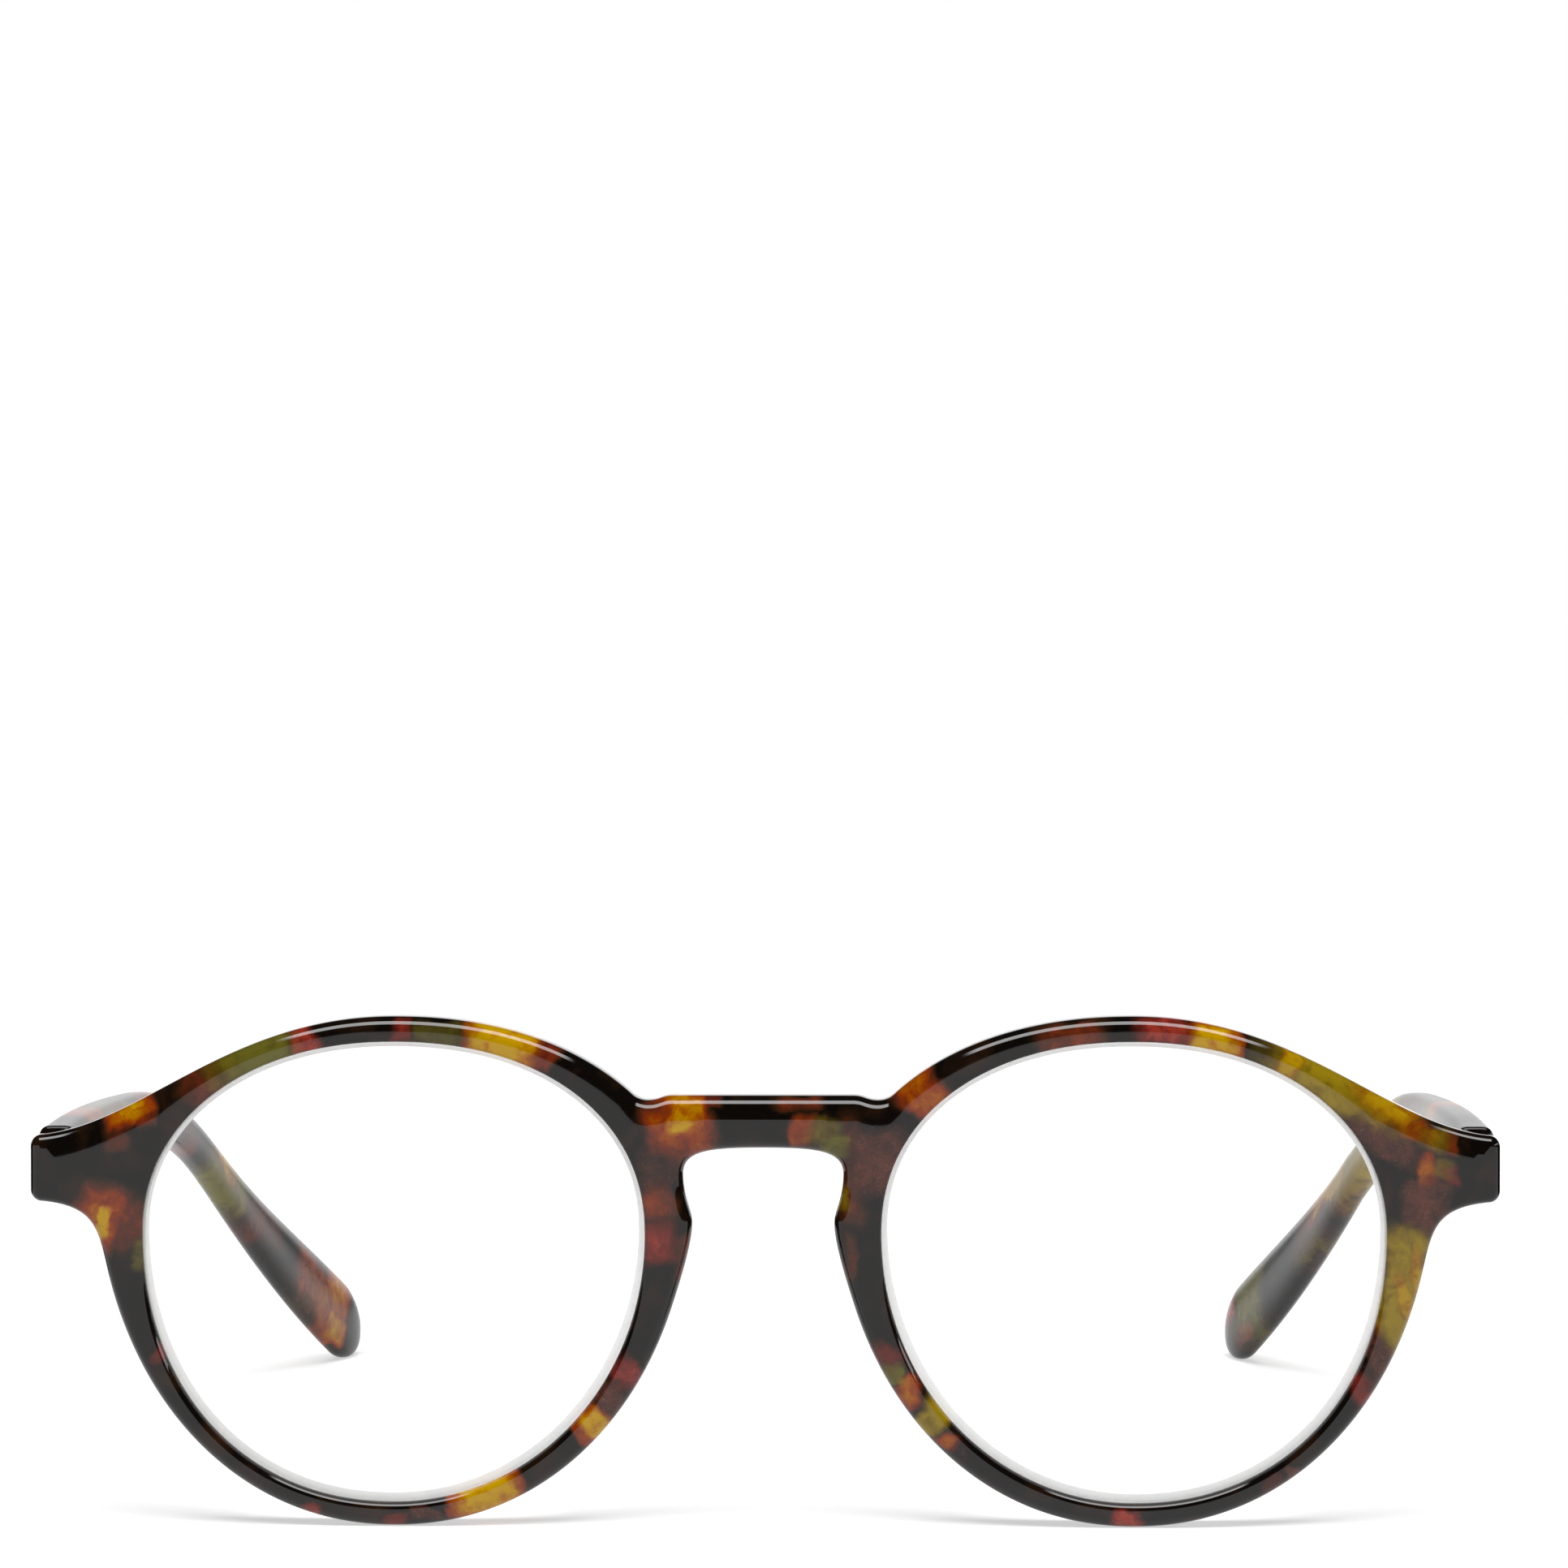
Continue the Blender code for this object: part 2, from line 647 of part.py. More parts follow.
def make_temple(side_name, side, pivot, collection):
    mesh = bmesh.new()
    face_y = front_face_y()
    rings = [
        [(side * point.x - pivot.x, point.y + face_y - pivot.y, point.z - pivot.z) for point in ring]
        for ring in temple_rings()
    ]
    first, last = stack_rings(mesh, rings)
    mesh.faces.new(first)
    mesh.faces.new(last)
    temple = finished_object(f"{side_name}_temple", mesh, collection, SHARP)
    temple.location = pivot
    set_material(temple, TORTOISE, 0.18)
    return temple


# Hinges


def knuckle_levels():
    """(bottom, top) of the three knuckles, from the lowest."""
    bottom = HINGE_Z - HINGE_HEIGHT / 2
    pitch = KNUCKLE_HEIGHT + KNUCKLE_GAP
    return [(bottom + level * pitch, bottom + level * pitch + KNUCKLE_HEIGHT) for level in range(3)]


def sided_box(name, side, low, high, collection):
    """A box given for the right side, mirrored where the side is the left."""
    xs = sorted((side * low[0], side * high[0]))
    return add_box(name, (xs[0], low[1], low[2]), (xs[1], high[1], high[2]), collection)


def make_leaf(name, side, plate, tongue_of, levels, screw_rods, pivot, collection, helpers):
    """A hinge leaf: a plate joined to its knuckles, bored for the hinge screw and the fixing screws."""
    leaf = sided_box(name, side, *plate, collection)
    for number, (bottom, top) in enumerate(levels):
        tongue = sided_box(f"{name}_tongue_{number}", side, *tongue_of(bottom, top), helpers)
        combine(leaf, tongue, "UNION")
        knuckle = add_rod(
            f"{name}_knuckle_{number}",
            (pivot.x, pivot.y, bottom),
            (pivot.x, pivot.y, top),
            KNUCKLE_RADIUS,
            helpers,
        )
        combine(leaf, knuckle, "UNION")
    bore = add_rod(
        f"{name}_bore",
        (pivot.x, pivot.y, levels[0][0] - CUT_OVERRUN),
        (pivot.x, pivot.y, levels[-1][1] + CUT_OVERRUN),
        HINGE_SCREW_RADIUS + BORE_CLEARANCE,
        helpers,
    )
    combine(leaf, bore, "DIFFERENCE")
    for number, (start, end) in enumerate(screw_rods):
        hole = add_rod(f"{name}_hole_{number}", start, end, LEAF_SCREW_RADIUS + RUNNING_CLEARANCE, helpers)
        combine(leaf, hole, "DIFFERENCE")
    set_material(leaf, STEEL, 0.3, metallic=1.0)
    return leaf


def make_screw(name, seat, outwards, shaft_radius, shaft_length, head_radius, head_height, collection, helpers):
    """A turned screw with a slotted head. The seat is under the head, on the screw's axis."""
    profile = (
        (0, head_height),
        (head_radius, head_height),
        (head_radius, 0),
        (shaft_radius, 0),
        (shaft_radius, -shaft_length),
        (0, -shaft_length),
    )
    mesh = bmesh.new()
    points = [mesh.verts.new((x, 0, z)) for x, z in profile]
    for first, second in zip(points, points[1:]):
        mesh.edges.new((first, second))
    data = bpy.data.meshes.new(name)
    mesh.to_mesh(data)
    mesh.free()
    screw = bpy.data.objects.new(name, data)
    collection.objects.link(screw)
    turning = screw.modifiers.new("turning", "SCREW")
    turning.steps = ROUND_SIDES
    turning.render_steps = ROUND_SIDES
    turning.use_merge_vertices = True
    turning.merge_threshold = MERGE_DISTANCE
    slot = add_box(
        f"{name}_slot",
        (-head_radius - CUT_OVERRUN, -SLOT_WIDTH / 2, head_height - SLOT_DEPTH),
        (head_radius + CUT_OVERRUN, SLOT_WIDTH / 2, head_height + CUT_OVERRUN),
        helpers,
    )
    placing = Matrix.Translation(seat) @ Vector(outwards).to_track_quat("Z", "Y").to_matrix().to_4x4()
    screw.matrix_world = placing
    slot.matrix_world = placing
    combine(screw, slot, "DIFFERENCE")
    set_material(screw, STEEL, 0.35, metallic=1.0)
    return screw


def make_hinge(side_name, side, front, temple, pivot, collection, helpers):
    rear_y = front_face_y() + FRONT_THICKNESS
    levels = knuckle_levels()
    low_z = levels[0][0]
    high_z = levels[-1][1]

    # Front leaf, flat on the rear of the end piece
    plate_out_x = HINGE_X - KNUCKLE_RADIUS - LEAF_GAP
    plate_in_x = plate_out_x - FRONT_LEAF_LENGTH
    leaf_y = (rear_y + SEAT_GAP, rear_y + SEAT_GAP + LEAF_THICKNESS)
    front_plate = ((plate_in_x, leaf_y[0], low_z), (plate_out_x, leaf_y[1], high_z))
    screw_x = side * (plate_in_x + plate_out_x) / 2
    seat_y = leaf_y[1] + RUNNING_CLEARANCE
    front_seats = [Vector((screw_x, seat_y, HINGE_Z + rise)) for rise in (-LEAF_SCREW_RISE, LEAF_SCREW_RISE)]
    hole_depth = Vector((0, LEAF_SCREW_LENGTH + RUNNING_CLEARANCE, 0))
    overrun = Vector((0, CUT_OVERRUN, 0))
    front_rods = [(seat - hole_depth, seat + overrun) for seat in front_seats]
    make_leaf(
        f"{side_name}_front_leaf",
        side,
        front_plate,
        lambda bottom, top: (
            (plate_out_x - LEAF_GAP, leaf_y[0] + TONGUE_INSET, bottom + TONGUE_INSET),
            (HINGE_X, leaf_y[1] - TONGUE_INSET, top - TONGUE_INSET),
        ),
        [levels[0], levels[2]],
        front_rods,
        pivot,
        collection,
        helpers,
    )
    for number, (start, end) in enumerate(front_rods):
        hole = add_rod(
            f"{side_name}_front_hole_{number}", start, end, LEAF_SCREW_RADIUS + RUNNING_CLEARANCE, helpers
        )
        combine(front, hole, "DIFFERENCE")
    for place, seat in zip(("lower", "upper"), front_seats):
        make_screw(
            f"{side_name}_front_leaf_screw_{place}",
            seat,
            (0, 1, 0),
            LEAF_SCREW_RADIUS,
            LEAF_SCREW_LENGTH,
            LEAF_SCREW_HEAD_RADIUS,
            LEAF_SCREW_HEAD_HEIGHT,
            collection,
            helpers,
        )

    # Temple leaf, flat on the inner face of the temple
    leaf_x = (TEMPLE_INNER_X - SEAT_GAP - LEAF_THICKNESS, TEMPLE_INNER_X - SEAT_GAP)
    plate_near_y = pivot.y + KNUCKLE_RADIUS + LEAF_GAP
    plate_far_y = plate_near_y + TEMPLE_LEAF_LENGTH
    temple_plate = ((leaf_x[0], plate_near_y, low_z), (leaf_x[1], plate_far_y, high_z))
    seat_x = side * (leaf_x[0] - RUNNING_CLEARANCE)
    temple_seats = [
        Vector((seat_x, plate_near_y + TEMPLE_LEAF_LENGTH * share, HINGE_Z)) for share in temple_screw_shares
    ]
    hole_depth = Vector((side * (LEAF_SCREW_LENGTH + RUNNING_CLEARANCE), 0, 0))
    overrun = Vector((side * CUT_OVERRUN, 0, 0))
    temple_rods = [(seat + hole_depth, seat - overrun) for seat in temple_seats]
    temple_leaf = make_leaf(
        f"{side_name}_temple_leaf",
        side,
        temple_plate,
        lambda bottom, top: (
            (leaf_x[0] + TONGUE_INSET, pivot.y, bottom + TONGUE_INSET),
            (leaf_x[1] - TONGUE_INSET, plate_near_y + LEAF_GAP, top - TONGUE_INSET),
        ),
        [levels[1]],
        temple_rods,
        pivot,
        collection,
        helpers,
    )
    moving = [temple_leaf]
    for number, (start, end) in enumerate(temple_rods):
        hole = add_rod(
            f"{side_name}_temple_hole_{number}", start, end, LEAF_SCREW_RADIUS + RUNNING_CLEARANCE, helpers
        )
        combine(temple, hole, "DIFFERENCE")
    for place, seat in zip(("front", "rear"), temple_seats):
        screw = make_screw(
            f"{side_name}_temple_leaf_screw_{place}",
            seat,
            (-side, 0, 0),
            LEAF_SCREW_RADIUS,
            LEAF_SCREW_LENGTH,
            LEAF_SCREW_HEAD_RADIUS,
            LEAF_SCREW_HEAD_HEIGHT,
            collection,
            helpers,
        )
        moving.append(screw)

    # Hinge screw, down through all three knuckles
    make_screw(
        f"{side_name}_hinge_screw",
        Vector((pivot.x, pivot.y, high_z + RUNNING_CLEARANCE)),
        (0, 0, 1),
        HINGE_SCREW_RADIUS,
        HINGE_HEIGHT + RUNNING_CLEARANCE,
        HINGE_SCREW_HEAD_RADIUS,
        HINGE_SCREW_HEAD_HEIGHT,
        collection,
        helpers,
    )
    return moving


def keep_place_under(parent, children):
    """Parents pieces to the joint's empty without moving them."""
    bpy.context.view_layer.update()
    for child in children:
        world = child.matrix_world.copy()
        child.parent = parent
        child.matrix_parent_inverse = parent.matrix_world.inverted()
        child.matrix_world = world


def main():
    for item in list(bpy.data.objects):
        bpy.data.objects.remove(item)
    glasses = collection_named("reading_glasses")
    helpers = collection_named("cutters")
    front = make_front(glasses)
    for side_name, side in SIDES.items():
        make_lens(side_name, side, glasses)
        make_nose_pad(side_name, side, glasses)
        pivot = Vector((side * HINGE_X, front_face_y() + HINGE_SETBACK, HINGE_Z))
        joint = bpy.data.objects.new(f"{side_name}_temple_fold", None)
        joint.location = pivot
        glasses.objects.link(joint)
        temple = make_temple(side_name, side, pivot, glasses)
        moving = make_hinge(side_name, side, front, temple, pivot, glasses, helpers)
        keep_place_under(joint, [temple, *moving])


main()
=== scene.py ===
"""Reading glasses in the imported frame: polished tortoiseshell plastic, clear lenses and steel hinges.

Metres, +Z up. The front faces -Y. "Left" and "right" are those of someone who looks at the front.
"""

import math

import bmesh
import bpy
from mathutils import Euler, Matrix, Vector, geometry, kdtree


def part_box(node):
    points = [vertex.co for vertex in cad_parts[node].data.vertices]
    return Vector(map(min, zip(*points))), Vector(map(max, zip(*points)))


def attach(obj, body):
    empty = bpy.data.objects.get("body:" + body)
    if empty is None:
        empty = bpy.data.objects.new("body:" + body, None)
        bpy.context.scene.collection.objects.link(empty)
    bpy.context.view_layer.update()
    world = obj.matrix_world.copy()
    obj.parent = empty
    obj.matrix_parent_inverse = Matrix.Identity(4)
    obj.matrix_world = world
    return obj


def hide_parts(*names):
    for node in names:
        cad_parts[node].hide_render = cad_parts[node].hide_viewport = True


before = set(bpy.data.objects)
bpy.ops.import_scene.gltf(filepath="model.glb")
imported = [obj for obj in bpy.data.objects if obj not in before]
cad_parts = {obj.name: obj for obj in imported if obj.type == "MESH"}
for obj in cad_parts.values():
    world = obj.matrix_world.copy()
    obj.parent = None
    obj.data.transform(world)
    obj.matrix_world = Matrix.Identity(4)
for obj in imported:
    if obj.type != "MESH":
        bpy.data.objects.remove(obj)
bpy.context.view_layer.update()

MM = 0.001

# Sizes of the front, as in the CAD source
FRONT_THICKNESS = 0.0040
FRONT_ROUNDING = 0.0008
REAR_ROUNDING = 0.0005
LENS_GAP = 0.02254
OPENING_HALF_WIDTH = 0.02397
OPENING_RISE = 0.01833
OPENING_DROP = 0.02568
OPENING_ROUNDING = 0.0003
UPPER_NASAL_POWER = 2.18
UPPER_TEMPORAL_POWER = 2.12
LOWER_NASAL_POWER = 2.01
LOWER_TEMPORAL_POWER = 2.14
RIM_BOTTOM = 0.0023
RIM_TOP = 0.0024
RIM_SIDE = 0.00458
RIM_SHOULDER_RISE = 0.0066
RIM_LOWER_POWER = 2.095
RIM_UPPER_POWER = 2.15
NASAL_JOIN_DROP = 0.00688
TEMPORAL_JOIN_DROP = 0.00328
BRIDGE_SET_DOWN = 0.00756
BRIDGE_HEIGHT = 0.00503
BRIDGE_HALF_WIDTH = 0.0086
NOTCH_X = 0.01097
NOTCH_DEPTH = 0.00045
NOTCH_RIM_X = 0.0125
KEYHOLE_HALF_WIDTH = 0.00763
KEYHOLE_SIDE_DROP = 0.0025
NOSE_HALF_GAP = 0.00677
NOSE_DROP = 0.0072
END_REACH = 0.01079
END_PIECE_HEIGHT = 0.0064
END_PIECE_SET_DOWN = 0.0113
END_FACE_CORNER_RADIUS = 0.0003
END_SLOPE = 0.10

# Curves of the front's outline: their two handles as shares of the chord, and their steps
CROWN_CURVE = ((0.63, 0.28), 44)
KEYHOLE_CURVE = ((0.50, 0.25), 20)
NOSE_CURVE = ((0.25, 0.25), 30)
UNDERSIDE_CURVE = ((0.445, 0.56), 50)
BROW_CURVE = ((0.273, 0.4475), 110)
NOTCH_RIM_CURVE = ((0.30, 0.40), 12)
NOTCH_BRIDGE_CURVE = ((0.45, 0.45), 14)

# Sizes of the lenses and nose pads, as in the CAD source
GROOVE_DEPTH = 0.0008
GROOVE_SETBACK = 0.0020
LENS_EDGE = 0.0014
LENS_CLEARANCE = 0.0003
LENS_CHAMFER_WIDTH = 0.0008
LENS_CHAMFER_RISE = 0.00035
LENS_FRONT_RADIUS = 0.180
BEVEL_CLEARANCE = 0.00012
BEVEL_WIDTH = 0.00035
LOW_BEVEL_WIDTH = 0.00075
LENS_REAR_RADIUS = 0.1794
PAD_HEIGHT = 0.0120
PAD_WIDTH = 0.0038
PAD_DEPTH = 0.0034
PAD_SET_IN = 0.0025
PAD_DROP = 0.0094
PAD_LEAN = math.radians(9.0)

# Sizes of the temples, as in the CAD source
TEMPLE_LENGTH = 0.129017
TEMPLE_THICKNESS = 0.0038
TEMPLE_TIP_HEIGHT = 0.0090
TEMPLE_TIP_THICKNESS = 0.0032
TEMPLE_INSET = 0.0001
TEMPLE_RISE = 0.0003
SHOULDER_DISTANCE = 0.012
WAIST_DISTANCE = 0.075
TEMPLE_HEIGHTS = ((0, 0.0068), (SHOULDER_DISTANCE, 0.0072), (WAIST_DISTANCE, 0.0043), (0.123, 0.0090))
BEND_START = 0.041
BEND_LENGTH = 0.046
BEND_ANGLE = math.radians(28.0)
TURN_START = 0.016
TURN_LENGTH = 0.130
TURN_ANGLE = math.radians(21.3)
TEMPLE_END_CHAMFER = 0.0004
END_SECTION_POWER = 4.5
EAR_SECTION_POWER = 2.6
TIP_THINNING_POWER = 0.32
TIP_ROUNDNESS = 1.3
TIP_TRIM = 0.000015
SEAT_GAP = 0.0003

# Finish of the front: its face swells gently towards its middle from every outer edge, and the
# openings' lips are rounder low down
EDGE_ROUNDING = 0.0012
LOW_LIP_ROUNDING = 0.0007
ROUNDING_CHANGE_X = (0.0600, 0.0660)
PILLOW_WIDTH = 0.0036
PILLOW_WIDTH_SHARE = 0.8
PILLOW_SLOPE = math.tan(math.radians(9.0))

# Fineness
OPENING_STEPS = 480
RIM_STEPS = 100
CORNER_STEPS = 10
END_FACE_STEPS = 12
BRIDGE_STEPS = 24
ROUNDING_STEPS = 8
FACE_GRID = 0.0006
GRID_CLEARANCE = FACE_GRID * 0.4
MERGE_DISTANCE = 1e-6
SEARCH_SPACING = 0.05 * MM
LENS_RINGS = 20
PAD_SEGMENTS = 64
PAD_RINGS = 48
TEMPLE_STEPS = 130
TEMPLE_END_STEPS = 6
TIP_STEPS = 16
SECTION_STEPS = 48
LINE_STEPS = 8
SETTLING_ROUNDS = 4
SHARP = math.radians(35)
LENS_SHARP = math.radians(12)

# Sizes that follow from those above
LENS_CENTRE_X = LENS_GAP / 2 + OPENING_HALF_WIDTH
FRONT_WIDTH = 2 * (LENS_CENTRE_X + OPENING_HALF_WIDTH + END_REACH)
WIDEST_Z = RIM_BOTTOM + OPENING_DROP
FRONT_HEIGHT = WIDEST_Z + OPENING_RISE + RIM_TOP
RIM_HALF_WIDTH = OPENING_HALF_WIDTH + RIM_SIDE
RIM_WIDEST_Z = WIDEST_Z + RIM_SHOULDER_RISE
LENS_CENTRE_Z = RIM_BOTTOM + (OPENING_DROP + OPENING_RISE) / 2
BRIDGE_TOP_Z = FRONT_HEIGHT - BRIDGE_SET_DOWN
BRIDGE_UNDERSIDE_Z = BRIDGE_TOP_Z - BRIDGE_HEIGHT
END_TOP_Z = FRONT_HEIGHT - END_PIECE_SET_DOWN
END_BOTTOM_Z = END_TOP_Z - END_PIECE_HEIGHT
END_CORNER_RADIUS = FRONT_ROUNDING + END_FACE_CORNER_RADIUS
HINGE_Z = (END_TOP_Z + END_BOTTOM_Z) / 2
TEMPLE_OUTER_X = FRONT_WIDTH / 2 - TEMPLE_INSET
TEMPLE_SETBACK = FRONT_THICKNESS + SEAT_GAP
FACE_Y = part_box("front_frame")[0][1]
REAR_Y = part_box("front_frame")[1][1]


# Outlines in the plane of the front, as (x, z) points


def bezier(start, start_direction, end, end_direction, handle_shares, steps):
    """Points of a cubic curve from start up to, but not including, end."""
    start = Vector(start)
    end = Vector(end)
    chord = (end - start).length
    first = start + Vector(start_direction).normalized() * chord * handle_shares[0]
    second = end - Vector(end_direction).normalized() * chord * handle_shares[1]
    points = []
    for step in range(steps):
        t = step / steps
        s = 1 - t
        points.append(start * s**3 + first * 3 * s * s * t + second * 3 * s * t * t + end * t**3)
    return points


def smooth_step(value, start=0, end=1):
    """0 to 1 as a value goes from start to end, level at both ends."""
    share = min(max((value - start) / (end - start), 0), 1)
    return share * share * (3 - 2 * share)


def blend(first, second, share):
    return first + (second - first) * share


def signed_power(value, power):
    return math.copysign(abs(value) ** power, value)


def superellipse_point(centre, half_width, half_height, power, angle):
    x = centre[0] + half_width * signed_power(math.cos(angle), 2 / power)
    z = centre[1] + half_height * signed_power(math.sin(angle), 2 / power)
    return Vector((x, z))


def angle_below(drop_share, power):
    return math.asin(drop_share ** (power / 2))


def opening_outline():
    """The right lens opening, anticlockwise from its temporal side."""
    centre = (LENS_CENTRE_X, WIDEST_Z)
    points = []
    for step in range(OPENING_STEPS):
        angle = 2 * math.pi * step / OPENING_STEPS
        temporal = math.cos(angle) > 0
        upper = math.sin(angle) > 0
        if upper:
            power = UPPER_TEMPORAL_POWER if temporal else UPPER_NASAL_POWER
        else:
            power = LOWER_TEMPORAL_POWER if temporal else LOWER_NASAL_POWER
        half_height = OPENING_RISE if upper else OPENING_DROP
        points.append(superellipse_point(centre, OPENING_HALF_WIDTH, half_height, power, angle))
    return points


def rim_arc(centre_z, half_height, power, start, end):
    """Points of the right rim's outer edge from one angle to another."""
    centre = (LENS_CENTRE_X, centre_z)
    angles = [start + (end - start) * step / RIM_STEPS for step in range(RIM_STEPS + 1)]
    return [superellipse_point(centre, RIM_HALF_WIDTH, half_height, power, angle) for angle in angles]


def lower_rim():
    lower = (RIM_WIDEST_Z, RIM_WIDEST_Z, RIM_LOWER_POWER)
    nasal_drop = (RIM_SHOULDER_RISE + NASAL_JOIN_DROP) / RIM_WIDEST_Z
    temporal_drop = (RIM_SHOULDER_RISE + TEMPORAL_JOIN_DROP) / RIM_WIDEST_Z
    start = math.pi + angle_below(nasal_drop, RIM_LOWER_POWER)
    bottom = math.pi * 3 / 2
    end = 2 * math.pi - angle_below(temporal_drop, RIM_LOWER_POWER)
    return rim_arc(*lower, start, bottom)[:-1] + rim_arc(*lower, bottom, end)


def upper_rim():
    across_share = (LENS_CENTRE_X - NOTCH_RIM_X) / RIM_HALF_WIDTH
    end = math.pi - math.acos(across_share ** (RIM_UPPER_POWER / 2))
    return rim_arc(WIDEST_Z, FRONT_HEIGHT - WIDEST_Z, RIM_UPPER_POWER, math.pi / 2, end)


def corner(centre, start_angle):
    """Points of a quarter round of the end piece."""
    points = []
    for step in range(CORNER_STEPS + 1):
        angle = start_angle + math.pi / 2 * step / CORNER_STEPS
        along = Vector((math.cos(angle), math.sin(angle)))
        points.append(Vector(centre) + along * END_CORNER_RADIUS)
    return points


def right_half_outline():
    """The front's silhouette at +X, anticlockwise from the bridge's underside to its top."""
    down = (0, -1)
    crown = (0, BRIDGE_UNDERSIDE_Z)
    keyhole_side = (KEYHOLE_HALF_WIDTH, BRIDGE_UNDERSIDE_Z - KEYHOLE_SIDE_DROP)
    nose = (NOSE_HALF_GAP, BRIDGE_UNDERSIDE_Z - NOSE_DROP)
    rim = lower_rim()
    corner_x = FRONT_WIDTH / 2 - END_CORNER_RADIUS
    bottom_corner = corner((corner_x, END_BOTTOM_Z + END_CORNER_RADIUS), -math.pi / 2)
    top_corner = corner((corner_x, END_TOP_Z - END_CORNER_RADIUS), 0)
    brow = upper_rim()
    notch = (NOTCH_X, BRIDGE_TOP_Z - NOTCH_DEPTH)
    bridge_end = (BRIDGE_HALF_WIDTH, BRIDGE_TOP_Z)

    points = bezier(crown, (1, 0), keyhole_side, down, *CROWN_CURVE)
    points += bezier(keyhole_side, down, nose, down, *KEYHOLE_CURVE)
    points += bezier(nose, down, rim[0], rim[1] - rim[0], *NOSE_CURVE)
    points += rim[:-1]
    points += bezier(rim[-1], rim[-1] - rim[-2], bottom_corner[0], (1, END_SLOPE), *UNDERSIDE_CURVE)
    points += bottom_corner
    end_face_shares = [step / END_FACE_STEPS for step in range(1, END_FACE_STEPS)]
    points += [bottom_corner[-1].lerp(top_corner[0], share) for share in end_face_shares]
    points += top_corner[:-1]
    points += bezier(top_corner[-1], (-1, END_SLOPE), brow[0], (-1, 0), *BROW_CURVE)
    points += brow[:-1]
    points += bezier(brow[-1], brow[-1] - brow[-2], notch, (-1, 0), *NOTCH_RIM_CURVE)
    points += bezier(notch, (-1, 0), bridge_end, (-1, 0), *NOTCH_BRIDGE_CURVE)
    bridge_shares = [step / BRIDGE_STEPS for step in range(BRIDGE_STEPS + 1)]
    points += [Vector(bridge_end).lerp(Vector((0, BRIDGE_TOP_Z)), share) for share in bridge_shares]
    return points


def mirrored(points):
    """The same outline at the other side, still anticlockwise."""
    return [Vector((-point.x, point.y)) for point in reversed(points)]


def offset_outline(points, distance):
    """A closed anticlockwise outline moved outwards, or inwards for a negative distance."""
    moved = []
    for index, point in enumerate(points):
        along = (points[(index + 1) % len(points)] - points[index - 1]).normalized()
        moved.append(point + Vector((along.y, -along.x)) * distance)
    return moved


def outline_moves(points, distance):
    """How each point of a closed outline moves when the outline is offset."""
    return [after - before for before, after in zip(points, offset_outline(points, distance))]


def at_depth(points, y):
    return [(point.x, y, point.y) for point in points]


# Mesh building


def join_rings(mesh, rings):
    """Places rings of points and builds the walls between neighbours. Returns the rings' vertices."""
    placed = [[mesh.verts.new(point) for point in ring] for ring in rings]
    for first, second in zip(placed, placed[1:]):
        for index in range(len(first)):
            after = (index + 1) % len(first)
            mesh.faces.new((first[index], first[after], second[after], second[index]))
    return placed


def new_object(name, data):
    made = bpy.data.objects.new(name, data)
    bpy.context.scene.collection.objects.link(made)
    return made


def finished_piece(name, mesh, body, slot, replaced, *materials, sharp=SHARP):
    """Makes an object of the mesh that rides on a body and stands for a CAD node."""
    bmesh.ops.recalc_face_normals(mesh, faces=mesh.faces)
    data = bpy.data.meshes.new(name)
    mesh.to_mesh(data)
    mesh.free()
    data.shade_smooth()
    data.set_sharp_from_angle(angle=sharp)
    for material in materials:
        data.materials.append(material)
    piece = new_object(name, data)
    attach(piece, body)
    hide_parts(replaced)
    return piece


def near_tree(points):
    """A search tree over a closed outline, with points added along its sides."""
    dense = []
    for index, point in enumerate(points):
        after = points[(index + 1) % len(points)]
        parts = max(1, round((after - point).length / SEARCH_SPACING))
        dense += [point.lerp(after, part / parts) for part in range(parts)]
    tree = kdtree.KDTree(len(dense))
    for index, point in enumerate(dense):
        tree.insert((point.x, point.y, 0), index)
    tree.balance()
    return tree


def distance_to(tree, x, z):
    return tree.find((x, z, 0))[2]


def inside(points, x, z):
    """Whether a point lies inside a closed outline."""
    found = False
    before = points[-1]
    for point in points:
        if (point.y > z) != (before.y > z):
            if x < point.x + (z - point.y) * (before.x - point.x) / (before.y - point.y):
                found = not found
        before = point
    return found


def fill_between(loops, extra_points):
    """Triangles between an outer loop and the holes' loops: points, then index triples into them."""
    points = []
    edges = []
    for loop in loops:
        start = len(points)
        points += [Vector(point) for point in loop]
        edges += [(start + index, start + (index + 1) % len(loop)) for index in range(len(loop))]
    fixed = len(points)
    points += extra_points
    found = geometry.delaunay_2d_cdt([point / MM for point in points], edges, [], 1, MERGE_DISTANCE, True)
    source = [ids[0] for ids in found[3]]
    triples = []
    for face in found[2]:
        triple = [source[index] for index in face]
        if max(triple) < fixed:
            middle = (points[triple[0]] + points[triple[1]] + points[triple[2]]) / 3
            within = [inside(loop, middle.x, middle.y) for loop in loops]
            if not within[0] or any(within[1:]):
                continue
        triples.append(triple)
    return points, triples


# Front


def rounding_profile(radius, steps):
    """(depth, inset) pairs of a quarter round, from the face to the wall."""
    profile = []
    for step in range(steps + 1):
        angle = math.pi / 2 * step / steps
        profile.append((radius * (1 - math.cos(angle)), radius * (1 - math.sin(angle))))
    return profile


def pillow(edge_distance, opening_distance):
    """How far the face lies behind its highest plane, and its slope towards the outer edge."""
    width = min(PILLOW_WIDTH, PILLOW_WIDTH_SHARE * (edge_distance + opening_distance))
    left = max(0.0, 1 - edge_distance / width)
    return PILLOW_SLOPE * width / 2 * left * left, PILLOW_SLOPE * left


def low_share(z):
    """0 at an opening's top, growing to 1 low down."""
    return smooth_step(0.5 + (LENS_CENTRE_Z - z) / OPENING_DROP)


